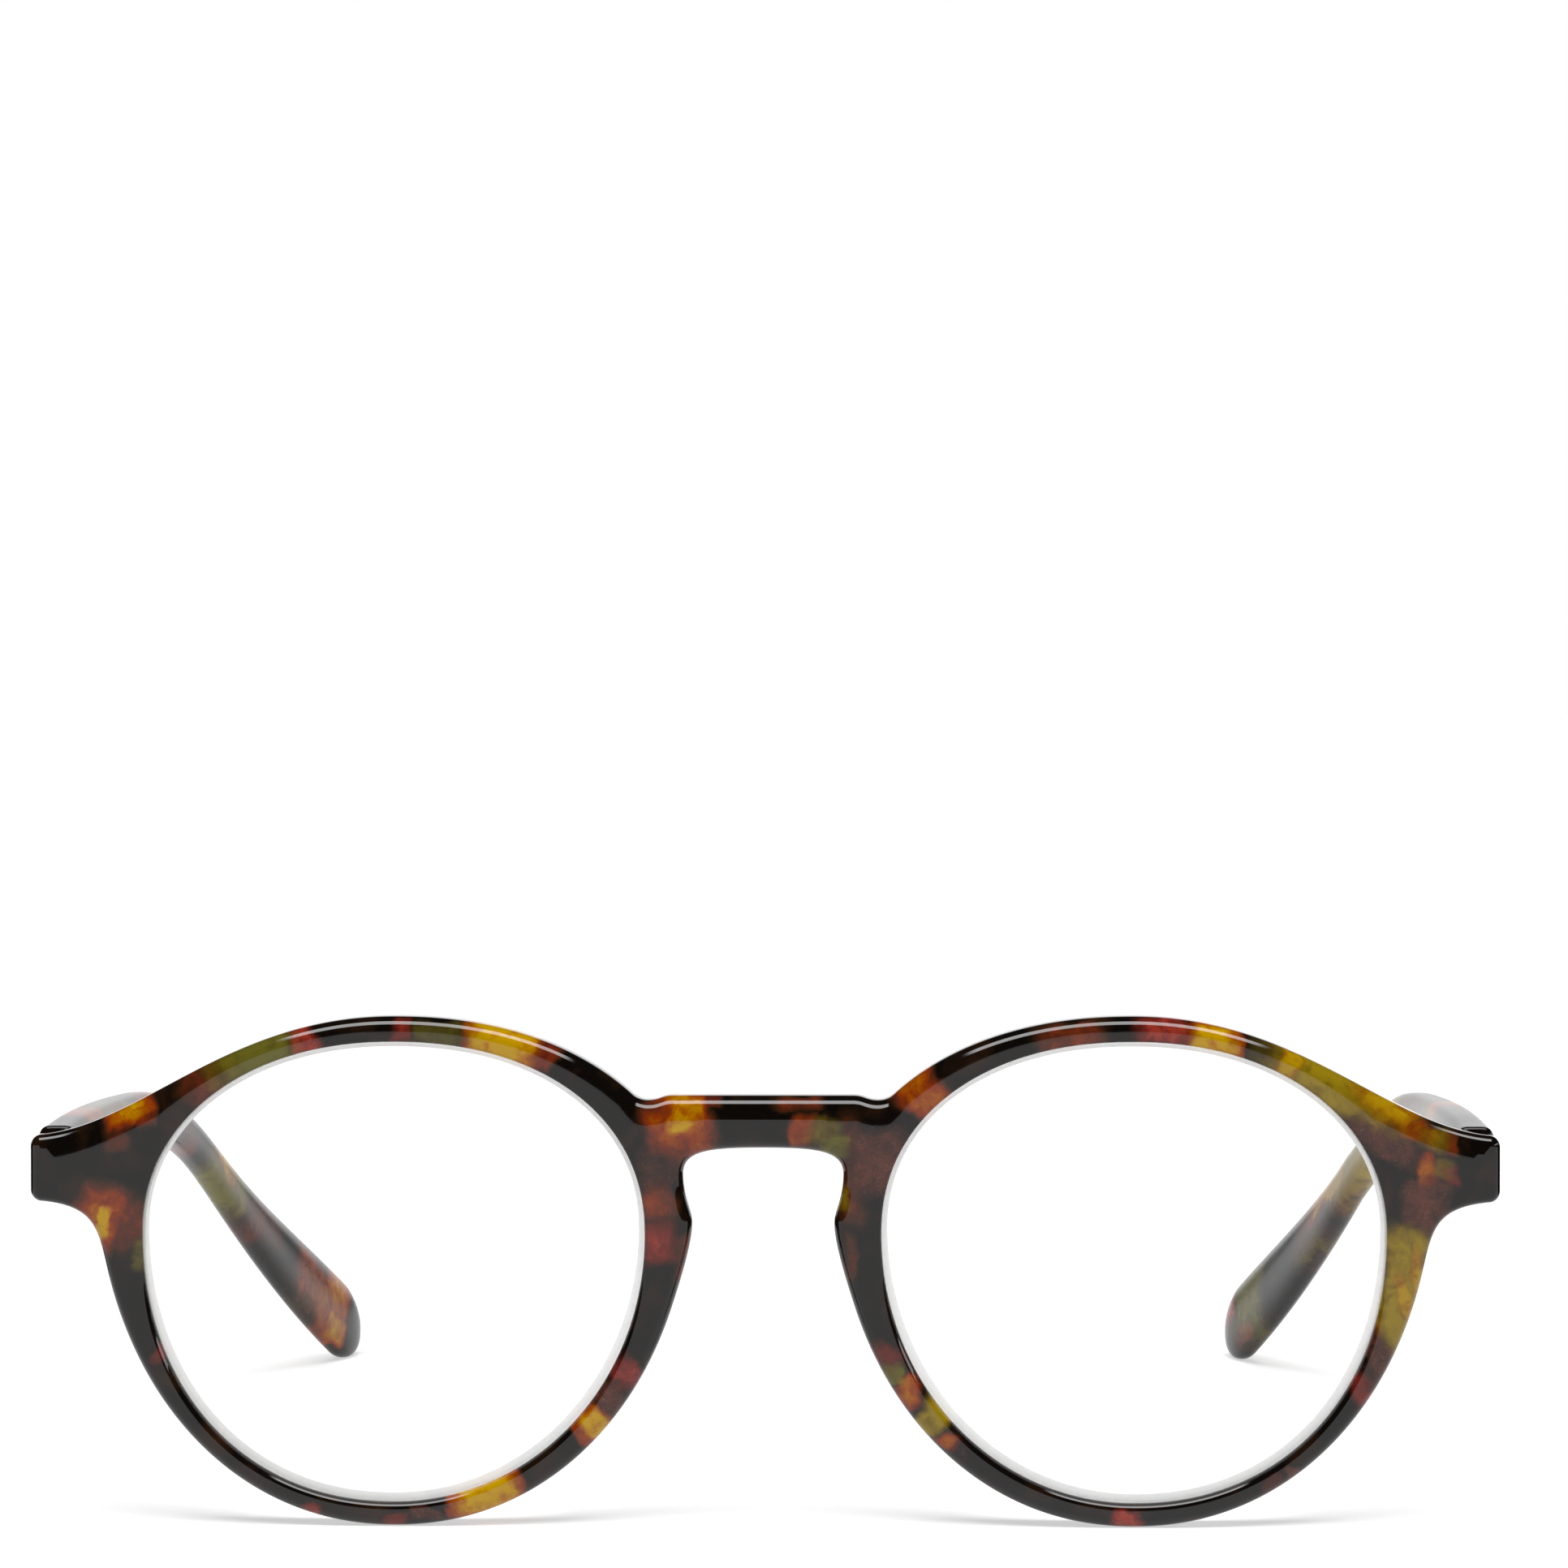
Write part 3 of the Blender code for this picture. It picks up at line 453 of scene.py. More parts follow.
def lip_radius(z):
    """Rounding of an opening's front edge at a height."""
    return blend(OPENING_ROUNDING, LOW_LIP_ROUNDING, low_share(z))


def make_front(left_plastic, right_plastic):
    right_half = right_half_outline()
    outline = right_half[:-1] + mirrored(right_half)[:-1]
    opening = opening_outline()
    openings = (opening, mirrored(opening))
    edge_tree = near_tree(outline)
    opening_trees = [near_tree(points) for points in openings]

    def opening_distance(x, z):
        return distance_to(opening_trees[0 if x > 0 else 1], x, z)

    def edge_radius(x):
        return blend(EDGE_ROUNDING, FRONT_ROUNDING, smooth_step(abs(x), *ROUNDING_CHANGE_X))

    mesh = bmesh.new()
    outwards = outline_moves(outline, 1.0)
    rear_rounding = rounding_profile(REAR_ROUNDING, ROUNDING_STEPS // 2)
    rings = []
    for depth, inset in rounding_profile(1.0, ROUNDING_STEPS):
        ring = []
        for edge, away in zip(outline, outwards):
            radius = edge_radius(edge.x)
            point = edge - away * inset * radius
            sunk = pillow(inset * radius, opening_distance(point.x, point.y))[0]
            ring.append((point.x, FACE_Y + depth * radius + sunk, point.y))
        rings.append(ring)
    for depth, inset in reversed(rear_rounding):
        rings.append(at_depth(offset_outline(outline, -inset), REAR_Y - depth))
    placed = join_rings(mesh, rings)
    front_loops = [placed[0]]
    rear_loops = [placed[-1]]

    rear_lip = rounding_profile(OPENING_ROUNDING, ROUNDING_STEPS // 2)
    groove_front = GROOVE_SETBACK - LENS_EDGE / 2 - LENS_CLEARANCE
    groove_rear = GROOVE_SETBACK + LENS_EDGE / 2 + LENS_CLEARANCE
    groove_floor = [(groove_front, GROOVE_DEPTH), (groove_rear, GROOVE_DEPTH)]
    groove = [(groove_front, 0), *groove_floor, (groove_rear, 0)]
    for side_opening in openings:
        rings = []
        outwards = outline_moves(side_opening, 1.0)
        for depth, widening in rounding_profile(1.0, ROUNDING_STEPS):
            ring = []
            for edge, away in zip(side_opening, outwards):
                radius = lip_radius(edge.y)
                point = edge + away * widening * radius
                sunk = pillow(distance_to(edge_tree, point.x, point.y), widening * radius)[0]
                ring.append((point.x, FACE_Y + depth * radius + sunk * (1 - depth), point.y))
            rings.append(ring)
        for depth, widening in groove:
            rings.append(at_depth(offset_outline(side_opening, widening), FACE_Y + depth))
        for depth, widening in reversed(rear_lip):
            rings.append(at_depth(offset_outline(side_opening, widening), REAR_Y - depth))
        placed = join_rings(mesh, rings)
        front_loops.append(placed[0])
        rear_loops.append(placed[-1])

    # Points over the face, in rows, clear of the edges
    grid = []
    row_step = FACE_GRID * math.sqrt(3) / 2
    for row in range(int(FRONT_HEIGHT / row_step) + 1):
        z = row * row_step
        shift = FACE_GRID / 2 * (row % 2)
        for column in range(int(FRONT_WIDTH / FACE_GRID) + 1):
            x = -FRONT_WIDTH / 2 + shift + column * FACE_GRID
            if distance_to(edge_tree, x, z) < edge_radius(x) + GRID_CLEARANCE:
                continue
            if opening_distance(x, z) < lip_radius(z) + GRID_CLEARANCE:
                continue
            if inside(outline, x, z) and not any(inside(points, x, z) for points in openings):
                grid.append(Vector((x, z)))

    smooth = {}
    for loops, extra, front in ((front_loops, grid, True), (rear_loops, [], False)):
        flat = [[Vector((vertex.co.x, vertex.co.z)) for vertex in loop] for loop in loops]
        points, triples = fill_between(flat, extra)
        vertices = [vertex for loop in loops for vertex in loop]
        for point in extra:
            sunk = pillow(distance_to(edge_tree, point.x, point.y), opening_distance(point.x, point.y))[0]
            vertices.append(mesh.verts.new((point.x, FACE_Y + sunk, point.y)))
        for triple in triples:
            mesh.faces.new([vertices[index] for index in triple])
        mesh.verts.index_update()
        for vertex in vertices:
            normal = Vector((0, 1, 0))
            if front:
                near, _, edge = edge_tree.find((vertex.co.x, vertex.co.z, 0))
                slope = pillow(edge, opening_distance(vertex.co.x, vertex.co.z))[1]
                outwards = Vector((near.x - vertex.co.x, 0, near.y - vertex.co.z)).normalized()
                normal = (outwards * slope + Vector((0, -1, 0))).normalized()
            smooth[vertex.index] = normal

    for face in mesh.faces:
        face.material_index = int(face.calc_center_median().x > 0)
    piece = finished_piece(
        "front_shell", mesh, "front", "tortoiseshell_front", "front_frame", left_plastic, right_plastic
    )
    data = piece.data
    normals = [corner_normal.vector.copy() for corner_normal in data.corner_normals]
    for loop in data.loops:
        if loop.vertex_index in smooth:
            normals[loop.index] = smooth[loop.vertex_index]
    data.normals_split_custom_set(normals)


# Lenses and nose pads


def make_lens(side_name, side, clear_glass, bevel_glass):
    """A thin meniscus whose flange sits in the groove and whose face steps up over a ground bevel."""
    opening = opening_outline()
    if side < 0:
        opening = mirrored(opening)
    centre = Vector((side * LENS_CENTRE_X, LENS_CENTRE_Z))
    flange_front = FACE_Y + GROOVE_SETBACK - LENS_EDGE / 2
    flange_rear = flange_front + LENS_EDGE
    seat = offset_outline(opening, GROOVE_DEPTH - LENS_CLEARANCE)
    neck = offset_outline(opening, -BEVEL_CLEARANCE)
    inwards = outline_moves(opening, -1.0)
    shoulder = []
    for point, away in zip(neck, inwards):
        shoulder.append(point + away * blend(BEVEL_WIDTH, LOW_BEVEL_WIDTH, low_share(point.y)))
    half_width = OPENING_HALF_WIDTH - LENS_CHAMFER_WIDTH
    front_bulge = half_width**2 / (2 * LENS_FRONT_RADIUS)
    rear_bulge = half_width**2 / (2 * LENS_REAR_RADIUS)

    def dome(edge_y, bulge, share):
        y = edge_y - bulge * (1 - share * share)
        return at_depth([centre + (point - centre) * share for point in shoulder], y)

    shares = [ring / LENS_RINGS for ring in range(LENS_RINGS, 0, -1)]
    face_y = flange_front - LENS_CHAMFER_RISE
    mesh = bmesh.new()
    rear_rings = [dome(flange_rear, rear_bulge, share) for share in reversed(shares)]
    flange_rings = [
        at_depth(neck, flange_rear),
        at_depth(seat, flange_rear),
        at_depth(seat, flange_front),
        at_depth(neck, flange_front),
    ]
    front_rings = [dome(face_y, front_bulge, share) for share in shares]
    placed = join_rings(mesh, rear_rings + flange_rings + front_rings)
    for ring, y in ((placed[0], flange_rear - rear_bulge), (placed[-1], face_y - front_bulge)):
        middle = mesh.verts.new((centre.x, y, centre.y))
        for index in range(len(ring)):
            mesh.faces.new((ring[index - 1], ring[index], middle))
    bevel = set(placed[LENS_RINGS + 3]) | set(placed[LENS_RINGS + 4])
    edge = {vertex for ring in placed[LENS_RINGS:LENS_RINGS + 4] for vertex in ring}
    for face in mesh.faces:
        corners = set(face.verts)
        if corners <= bevel or corners <= edge:
            face.material_index = 1
    place = ("front", "lens_glass", f"{side_name}_lens")
    finished_piece(f"{side_name}_clear_lens", mesh, *place, clear_glass, bevel_glass, sharp=LENS_SHARP)


def make_nose_pad(side_name, side, material):
    """A rounded block bonded to the rear face of the rim, beside the nose."""
    mesh = bmesh.new()
    bmesh.ops.create_uvsphere(mesh, u_segments=PAD_SEGMENTS, v_segments=PAD_RINGS, radius=1)
    bmesh.ops.scale(mesh, vec=(PAD_WIDTH / 2, PAD_DEPTH, PAD_HEIGHT / 2), verts=mesh.verts)
    bmesh.ops.rotate(mesh, matrix=Matrix.Rotation(-side * PAD_LEAN, 3, "Y"), verts=mesh.verts)
    middle = (side * (NOSE_HALF_GAP + PAD_SET_IN), REAR_Y + SEAT_GAP, BRIDGE_UNDERSIDE_Z - PAD_DROP)
    bmesh.ops.translate(mesh, vec=middle, verts=mesh.verts)
    cut = bmesh.ops.bisect_plane(
        mesh,
        geom=mesh.verts[:] + mesh.edges[:] + mesh.faces[:],
        plane_co=(0, REAR_Y, 0),
        plane_no=(0, -1, 0),
        clear_outer=True,
    )
    cut_edges = [part for part in cut["geom_cut"] if isinstance(part, bmesh.types.BMEdge)]
    bmesh.ops.contextual_create(mesh, geom=cut_edges)
    place = ("front", "tortoiseshell_pad", f"{side_name}_nose_pad")
    finished_piece(f"{side_name}_pad_shell", mesh, *place, material)


# Temples


def temple_stations():
    """Distances along the temple: close together round its ends, even between."""
    tip_length = TEMPLE_TIP_HEIGHT / 2 * TIP_ROUNDNESS
    shaft_end = TEMPLE_LENGTH - TIP_TRIM - tip_length
    stations = [depth for depth, _ in rounding_profile(TEMPLE_END_CHAMFER, TEMPLE_END_STEPS)]
    for step in range(1, TEMPLE_STEPS + 1):
        stations.append(TEMPLE_END_CHAMFER + (shaft_end - TEMPLE_END_CHAMFER) * step / TEMPLE_STEPS)
    for step in range(1, TIP_STEPS + 1):
        angle = math.pi / 2 * step / (TIP_STEPS + TIP_ROUNDNESS / 2)
        stations.append(shaft_end + tip_length * math.sin(angle))
    return stations


def temple_height(distance):
    """The height at a distance, between those listed."""
    for (start, first), (end, second) in zip(TEMPLE_HEIGHTS, TEMPLE_HEIGHTS[1:]):
        if distance < end:
            break
    return blend(first, second, smooth_step(distance, start, end))


def temple_direction(distance):
    fall = BEND_ANGLE * smooth_step((distance - BEND_START) / BEND_LENGTH)
    turn = TURN_ANGLE * smooth_step((distance - TURN_START) / TURN_LENGTH)
    return Vector((-math.cos(fall) * math.sin(turn), math.cos(fall) * math.cos(turn), -math.sin(fall)))


def temple_centreline(stations):
    """Points and directions of the right temple's middle line, from its front end."""
    point = Vector((TEMPLE_OUTER_X - TEMPLE_THICKNESS / 2, TEMPLE_SETBACK, HINGE_Z + TEMPLE_RISE))
    line = []
    before = 0
    for distance in stations:
        for step in range(LINE_STEPS):
            middle = before + (distance - before) * (step + 0.5) / LINE_STEPS
            point = point + temple_direction(middle) * (distance - before) / LINE_STEPS
        line.append((point, temple_direction(distance)))
        before = distance
    return line


def section_axes(direction):
    sideways = Vector((1, 0, 0))
    sideways = (sideways - direction * sideways.dot(direction)).normalized()
    return sideways, sideways.cross(direction)


def temple_rings():
    """Sections of the right temple, with the front's face at y = 0 and the tip resting at z = 0."""
    stations = temple_stations()
    line = temple_centreline(stations)
    tip_length = TEMPLE_TIP_HEIGHT / 2 * TIP_ROUNDNESS
    rings = []
    for distance, (point, direction) in zip(stations, line):
        share = smooth_step(distance, SHOULDER_DISTANCE, WAIST_DISTANCE)
        half_height = temple_height(distance) / 2
        half_thickness = blend(TEMPLE_THICKNESS, TEMPLE_TIP_THICKNESS, share) / 2
        power = blend(END_SECTION_POWER, EAR_SECTION_POWER, share)
        into_tip = max(0, 1 - (TEMPLE_LENGTH - TIP_TRIM - distance) / tip_length)
        half_height *= math.sqrt(1 - into_tip**2)
        half_thickness *= (1 - into_tip**2) ** TIP_THINNING_POWER
        if distance < TEMPLE_END_CHAMFER:
            share = 1 - distance / TEMPLE_END_CHAMFER
            inset = TEMPLE_END_CHAMFER * (1 - math.sqrt(1 - share * share))
            half_height -= inset
            half_thickness -= inset
        sideways, upwards = section_axes(direction)
        ring = []
        for step in range(SECTION_STEPS):
            angle = 2 * math.pi * (step + 0.5) / SECTION_STEPS
            across = half_thickness * signed_power(math.cos(angle), 2 / power)
            up = half_height * signed_power(math.sin(angle), 2 / power)
            ring.append(point + sideways * across + upwards * up)
        rings.append(ring)
    return settled(rings)


def settled(rings):
    """Lowers the line evenly over its fall, so that the lowest point just reaches the table."""
    middles = [sum(ring, Vector()) / len(ring) for ring in rings]
    for _ in range(SETTLING_ROUNDS):
        lowest = min(point.z for ring in rings for point in ring)
        whole_fall = middles[0].z - middles[-1].z
        for ring, middle in zip(rings, middles):
            share = (middles[0].z - middle.z) / whole_fall
            for point in ring:
                point.z -= lowest * share
    return rings


def make_temple(side_name, side, rings, material):
    mesh = bmesh.new()
    sections = [[(side * point.x, point.y + FACE_Y, point.z) for point in ring] for ring in rings]
    placed = join_rings(mesh, sections)
    mesh.faces.new(placed[0])
    mesh.faces.new(placed[-1])
    place = (f"{side_name}_arm", "tortoiseshell_temple", f"{side_name}_temple")
    finished_piece(f"{side_name}_temple_shell", mesh, *place, material)


# Materials


def set_inputs(tree, node, inputs):
    """Sets a node's inputs, or links those whose value is another node's output."""
    for key, value in inputs.items():
        if isinstance(value, bpy.types.NodeSocket):
            tree.links.new(value, node.inputs[key])
        else:
            node.inputs[key].default_value = value


def add_node(tree, kind, inputs, **settings):
    made = tree.nodes.new(kind)
    for name, value in settings.items():
        setattr(made, name, value)
    set_inputs(tree, made, inputs)
    return made


def calculate(tree, operation, *values):
    return add_node(tree, "ShaderNodeMath", dict(enumerate(values)), operation=operation).outputs[0]


def calculate_vector(tree, operation, *values):
    """The output of a vector node, which is a vector or, for a dot product, a number."""
    made = add_node(tree, "ShaderNodeVectorMath", dict(enumerate(values)), operation=operation)
    return made.outputs["Value" if operation == "DOT_PRODUCT" else "Vector"]


def noise(tree, place, scale, detail=2.0, rough=0.5, output="Fac"):
    inputs = {"Vector": place, "Scale": scale, "Detail": detail, "Roughness": rough}
    return add_node(tree, "ShaderNodeTexNoise", inputs).outputs[output]


def bump(tree, height, strength, depth):
    inputs = {"Height": height, "Strength": strength, "Distance": depth}
    return add_node(tree, "ShaderNodeBump", inputs).outputs[0]


def eased(tree, value, low, high, top=1.0):
    """0 to top as a value goes from low to high, smoothly."""
    inputs = {"Value": value, "From Min": low, "From Max": high, "To Max": top}
    made = add_node(tree, "ShaderNodeMapRange", inputs, interpolation_type="SMOOTHSTEP")
    return made.outputs["Result"]


def mixed(tree, share, first, second):
    """A colour between two others, by a share that may come from a node."""
    made = add_node(tree, "ShaderNodeMix", {}, data_type="RGBA")
    inputs = {"Factor_Float": share, "A_Color": first, "B_Color": second}
    places = {socket.identifier: index for index, socket in enumerate(made.inputs)}
    set_inputs(tree, made, {places[key]: value for key, value in inputs.items()})
    return next(socket for socket in made.outputs if socket.identifier == "Result_Color")


def ramp(tree, value, stops):
    """Colour stops are (position, colour)."""
    made = add_node(tree, "ShaderNodeValToRGB", {"Fac": value})
    elements = made.color_ramp.elements
    while len(elements) < len(stops):
        elements.new(0.5)
    for element, (position, colour) in zip(elements, stops):
        element.position = position
        element.color = (*colour, 1)
    return made.outputs["Color"]


def new_material(name):
    """A material, its tree, its shader and the place on the piece that its texture reads."""
    material = bpy.data.materials.new(name)
    material.use_nodes = True
    tree = material.node_tree
    place = add_node(tree, "ShaderNodeTexCoord", {}).outputs["Object"]
    return material, tree, tree.nodes["Principled BSDF"], place


# The colours of the plastic, as they lie under the polish
NEARLY_BLACK = (0.0030, 0.0020, 0.0014)
DARK_BROWN = (0.020, 0.008, 0.003)
RED_BROWN = (0.075, 0.014, 0.005)
BURNT_ORANGE = (0.19, 0.026, 0.002)
ORANGE = (0.28, 0.075, 0.0)
AMBER = (0.40, 0.225, 0.0)
DARK_OLIVE = (0.030, 0.020, 0.004)
OLIVE = (0.095, 0.085, 0.009)
DARK_KHAKI = (0.10, 0.060, 0.002)
KHAKI = (0.215, 0.145, 0.004)
DARK_RED = (0.040, 0.006, 0.003)
RED = (0.120, 0.012, 0.008)
BRIGHT_RED = (0.24, 0.026, 0.014)
DARK_MAUVE = (0.030, 0.010, 0.006)
MAUVE = (0.090, 0.024, 0.016)
SPECK = (0.24, 0.15, 0.12)

# Bright and dull colour of the hinges' leaves and of the screws
LEAF_COLOURS = ((0.66, 0.64, 0.61), (0.42, 0.40, 0.38))
SCREW_COLOURS = ((0.70, 0.69, 0.67), (0.46, 0.45, 0.43))

# Colours from the faded edge of each kind of patch to its middle, the lowest kind first
RAMPS = {
    "mauve": ((0.0, NEARLY_BLACK), (0.30, NEARLY_BLACK), (0.60, DARK_MAUVE), (1.0, MAUVE)),
    "olive": ((0.0, NEARLY_BLACK), (0.40, DARK_OLIVE), (1.0, OLIVE)),
    "khaki": ((0.0, NEARLY_BLACK), (0.30, DARK_OLIVE), (0.62, DARK_KHAKI), (1.0, KHAKI)),
    "red": ((0.0, NEARLY_BLACK), (0.40, DARK_RED), (0.78, RED), (1.0, BRIGHT_RED)),
    "amber": ((0.0, NEARLY_BLACK), (0.22, DARK_BROWN), (0.42, BURNT_ORANGE), (0.66, ORANGE), (1.0, AMBER)),
    "warm": (
        (0.0, NEARLY_BLACK), (0.18, DARK_BROWN), (0.36, RED_BROWN), (0.54, BURNT_ORANGE), (0.74, ORANGE),
        (1.0, AMBER),
    ),
}

# How the patches' outlines wander: scale and detail of the noise, and its reach
WARPS = ((130.0, 2.0, 2.6 * MM), (480.0, 3.0, 1.5 * MM))
FLAKE_SCALE = 520.0
FLAKE_SOFTNESS = 0.9
FLAKE_REACH = 0.35 * MM

# Small clouds that break up every patch and show faintly in the dark ground
CLOUD_SCALE = 700.0
CLOUD_GAIN = 1.3
CLOUD_FLOOR = 0.35
GROUND_SCALE = 260.0
GROUND_WEIGHT = 0.004
SPECK_SCALE = 4200.0

# Polish of the plastic
POLISH_SCALE = 1400.0
ROUGHNESS_RANGE = 0.05
RIPPLE_SCALE = 420.0
RIPPLE_STRENGTH = 0.04
RIPPLE_DEPTH = 0.05 * MM

# Index and lowest roughness of each part's polish
FRONT_POLISH = (1.43, 0.02)
TEMPLE_POLISH = (1.32, 0.16)

# The coated lens hardly reflects or bends light. Its bevel is ground, and so slightly milky
COATED_LENS_IOR = 1.05
BEVEL_IOR = 1.5

# Where a patch is full and where it is gone, as the squared distance from its middle in half sizes.
# The half sizes are the listed ones times the spread
PATCH_FULL = 0.1
PATCH_GONE = 2.4
PATCH_SPREAD = 1.15

# Half depth of the patches through the front and through a temple, in millimetres
FRONT_PATCH_DEPTH = 14
TEMPLE_PATCH_DEPTH = 9

# How far past the middle each half of the front lists the other half's patches
SHARED_REACH = 12.0

# Patches of the front: x, z, half width, half height in millimetres, lean in degrees, strength
FRONT_PATCHES = {
    "mauve": (
        (58.5, 37.3, 3.6, 1.5, -35, 0.8), (62.9, 30.6, 1.9, 2.3, 0, 0.86), (10.7, 34.8, 2.2, 2.8, 0, 0.82),
        (-9.9, 34.3, 2, 1.7, 0, 0.55), (-49, 4.2, 2.3, 0.9, -35, 0.4), (-32.1, 1, 1.5, 0.6, 0, 0.75),
        (-14.4, 12.3, 1.2, 1.5, 35, 0.8), (58.4, 16.5, 1.1, 1.9, 30, 0.85), (57.6, 14.4, 0.9, 1.5, 35, 0.6),
        (50.2, 5.1, 0.7, 0.8, 0, 0.9), (18.8, 7.2, 0.8, 0.8, 0, 0.45),
    ),
    "olive": (
        (-47.9, 45, 3.2, 2.2, 25, 1), (-30.5, 47, 2.8, 1, 0, 0.55), (6.9, 36, 1.2, 0.9, 0, 1),
        (-59.9, 26.1, 0.5, 1.4, 0, 0.7), (12.7, 14.7, 0.8, 0.8, 0, 1), (47.7, 45, 1.4, 1.4, -20, 0.5),
        (6, 37.5, 1.4, 0.9, 0, 0.6),
    ),
    "khaki": (
        (54.7, 42.1, 6, 2, -27, 1), (63.6, 37.2, 1.4, 0.9, -20, 0.7), (64.6, 34.4, 0.7, 0.9, 0, 0.6),
        (61.3, 24.2, 2.1, 3.4, 6, 1), (60.2, 19.6, 1.5, 2.8, 16, 1), (15.8, 10.5, 1.2, 2.3, -38, 1),
        (5.6, 37.6, 1.6, 1, 0, 0.6), (7.4, 31.6, 0.6, 1, 0, 0.8), (-51.5, 43.7, 1.5, 1.5, 25, 0.6),
    ),
    "red": (
        (-43.6, 46.5, 1.2, 1.5, 20, 1), (-34.4, 47.4, 0.8, 1.2, 0, 0.75), (-20.9, 45.3, 0.8, 1.3, -20, 0.6),
        (-10, 27.3, 1.2, 1.5, 0, 0.74), (38.1, 47, 2.1, 1.2, 0, 0.95), (65.1, 33.8, 0.5, 0.9, 0, 0.7),
        (-57.7, 17.1, 0.5, 1.2, -25, 0.55), (-43.3, 1.7, 0.6, 0.5, 0, 0.95), (-35.1, 0.7, 0.9, 0.5, 0, 0.7),
        (-13, 14.6, 1.1, 1.5, 30, 0.86), (-7.9, 24.5, 0.4, 0.8, 0, 0.5), (12, 16, 1.2, 1, -30, 0.6),
        (18, 7.9, 0.5, 0.7, -40, 0.6), (56.9, 12.8, 1, 2, 35, 0.75), (34.8, 0.9, 1.1, 0.8, 0, 1),
        (-4.7, 40.4, 0.6, 0.4, 0, 0.6), (48.3, 4.1, 0.6, 0.6, 0, 0.4),
    ),
    "amber": (
        (-24.8, 46.3, 2.8, 1.9, -15, 1), (43, 46.4, 1.9, 1.4, -8, 1), (49.7, 44.3, 0.8, 1.1, -25, 1),
        (58.8, 40.8, 2.6, 0.8, -28, 0.95), (62.2, 23.6, 0.5, 2.3, 13, 1), (61.3, 21, 0.5, 2.8, 16, 1),
        (-26.2, 2.9, 2.6, 1.5, 15, 1), (-15.8, 9.7, 1.3, 1.4, 45, 0.95),
    ),
    "warm": (
        (-60.6, 39.5, 2, 1.1, 25, 0.74), (-59.6, 40.2, 0.7, 0.5, 25, 0.95),
        (-61.5, 37.4, 0.9, 1.1, 0, 0.34), (-58.7, 38.9, 0.8, 0.8, 0, 0.4), (-63, 29.2, 0.6, 1.5, -20, 1),
        (-63.4, 29.8, 1.8, 2.4, -25, 0.62), (-60.6, 28.9, 1.2, 2.1, 0, 0.38),
        (-53.2, 42.3, 1.9, 2.2, 40, 0.34), (-20.9, 44.9, 0.9, 1.2, -30, 0.46),
        (-7.5, 39.2, 1.5, 1.8, 0, 0.84), (-8, 38, 2.2, 2.6, 25, 0.6), (-9, 36.5, 1.5, 0.9, 0, 0.47),
        (-4.7, 40.3, 0.9, 0.5, 0, 0.42), (3, 40.2, 1.7, 0.6, 0, 0.38), (3.5, 37.6, 0.9, 1.2, 0, 0.62),
        (8.4, 34.3, 1, 3.9, 0, 0.4), (8.3, 31, 0.6, 0.7, 0, 0.42), (-10.1, 31.2, 1.5, 1.8, 0, 0.42),
        (-8.2, 26.5, 1.1, 1.1, 0, 0.33), (15.4, 41.2, 1.7, 2.5, 50, 0.66), (29.1, 46.9, 2.5, 1.1, 5, 0.42),
        (40.3, 46.9, 0.8, 1.1, 0, 0.52), (44.8, 45.8, 0.5, 0.9, -15, 0.52), (60, 39.1, 3.9, 0.9, -27, 0.64),
        (65.3, 36.7, 0.5, 0.8, 0, 0.42), (63.1, 34.3, 0.9, 1.5, 0, 0.64), (-29.5, 1.4, 0.6, 0.8, 0, 0.46),
        (-23.2, 4, 0.5, 0.9, 20, 0.46), (-17.2, 8.3, 0.5, 1.1, 40, 0.56), (-18.1, 9.6, 0.5, 1.1, 45, 0.5),
        (8.3, 25.6, 0.6, 1.7, 0, 0.28), (13.1, 13.2, 0.5, 1.2, -30, 0.52), (17.3, 8.4, 0.7, 0.8, -40, 0.62),
        (13.9, 13.3, 0.9, 1.1, 0, 0.72), (58.2, 20.5, 0.4, 2.3, 12, 0.5),
    ),
}

# Patches of the temples: distance and rise in millimetres, half length, half height, lean, strength
LEFT_PATCHES = {
    "mauve": ((66, -0.3, 4, 2.4, 0, 0.6), (97, -0.4, 5, 2.4, 10, 0.7)),
    "olive": (
        (22, 0, 4, 3, 10, 0.8), (58, -1, 3, 2, 0, 0.6), (83, -1.6, 6, 1.8, 5, 1),
        (116, -2.6, 6, 2.2, 0, 0.45),
    ),
    "khaki": ((34, 1, 3, 1.4, -10, 0.8),),
    "red": ((44, 1, 2.5, 2, 0, 0.7), (68, -2.2, 2, 1, 0, 0.7)),
    "amber": ((30, -1.5, 3, 2, -10, 0.9), (52, 1.2, 4, 1.6, 10, 0.8), (121, -3.9, 2.2, 1.4, 0, 0.85)),
    "warm": (
        (14, 1.5, 5, 3, 20, 0.6), (30, -1.2, 4.5, 3, -10, 0.6), (52, 0.8, 5, 2.2, 10, 0.55),
        (82, 0.6, 3.4, 1.3, -15, 0.95), (89, -1.9, 2.4, 1.2, 0, 0.36), (94, -2.3, 3, 1.4, 10, 0.42),
        (112, -1.6, 3.4, 2.8, -10, 0.52), (121, 1, 2.6, 4, -25, 0.72), (117, -2.6, 3, 2.4, -25, 0.62),
    ),
}
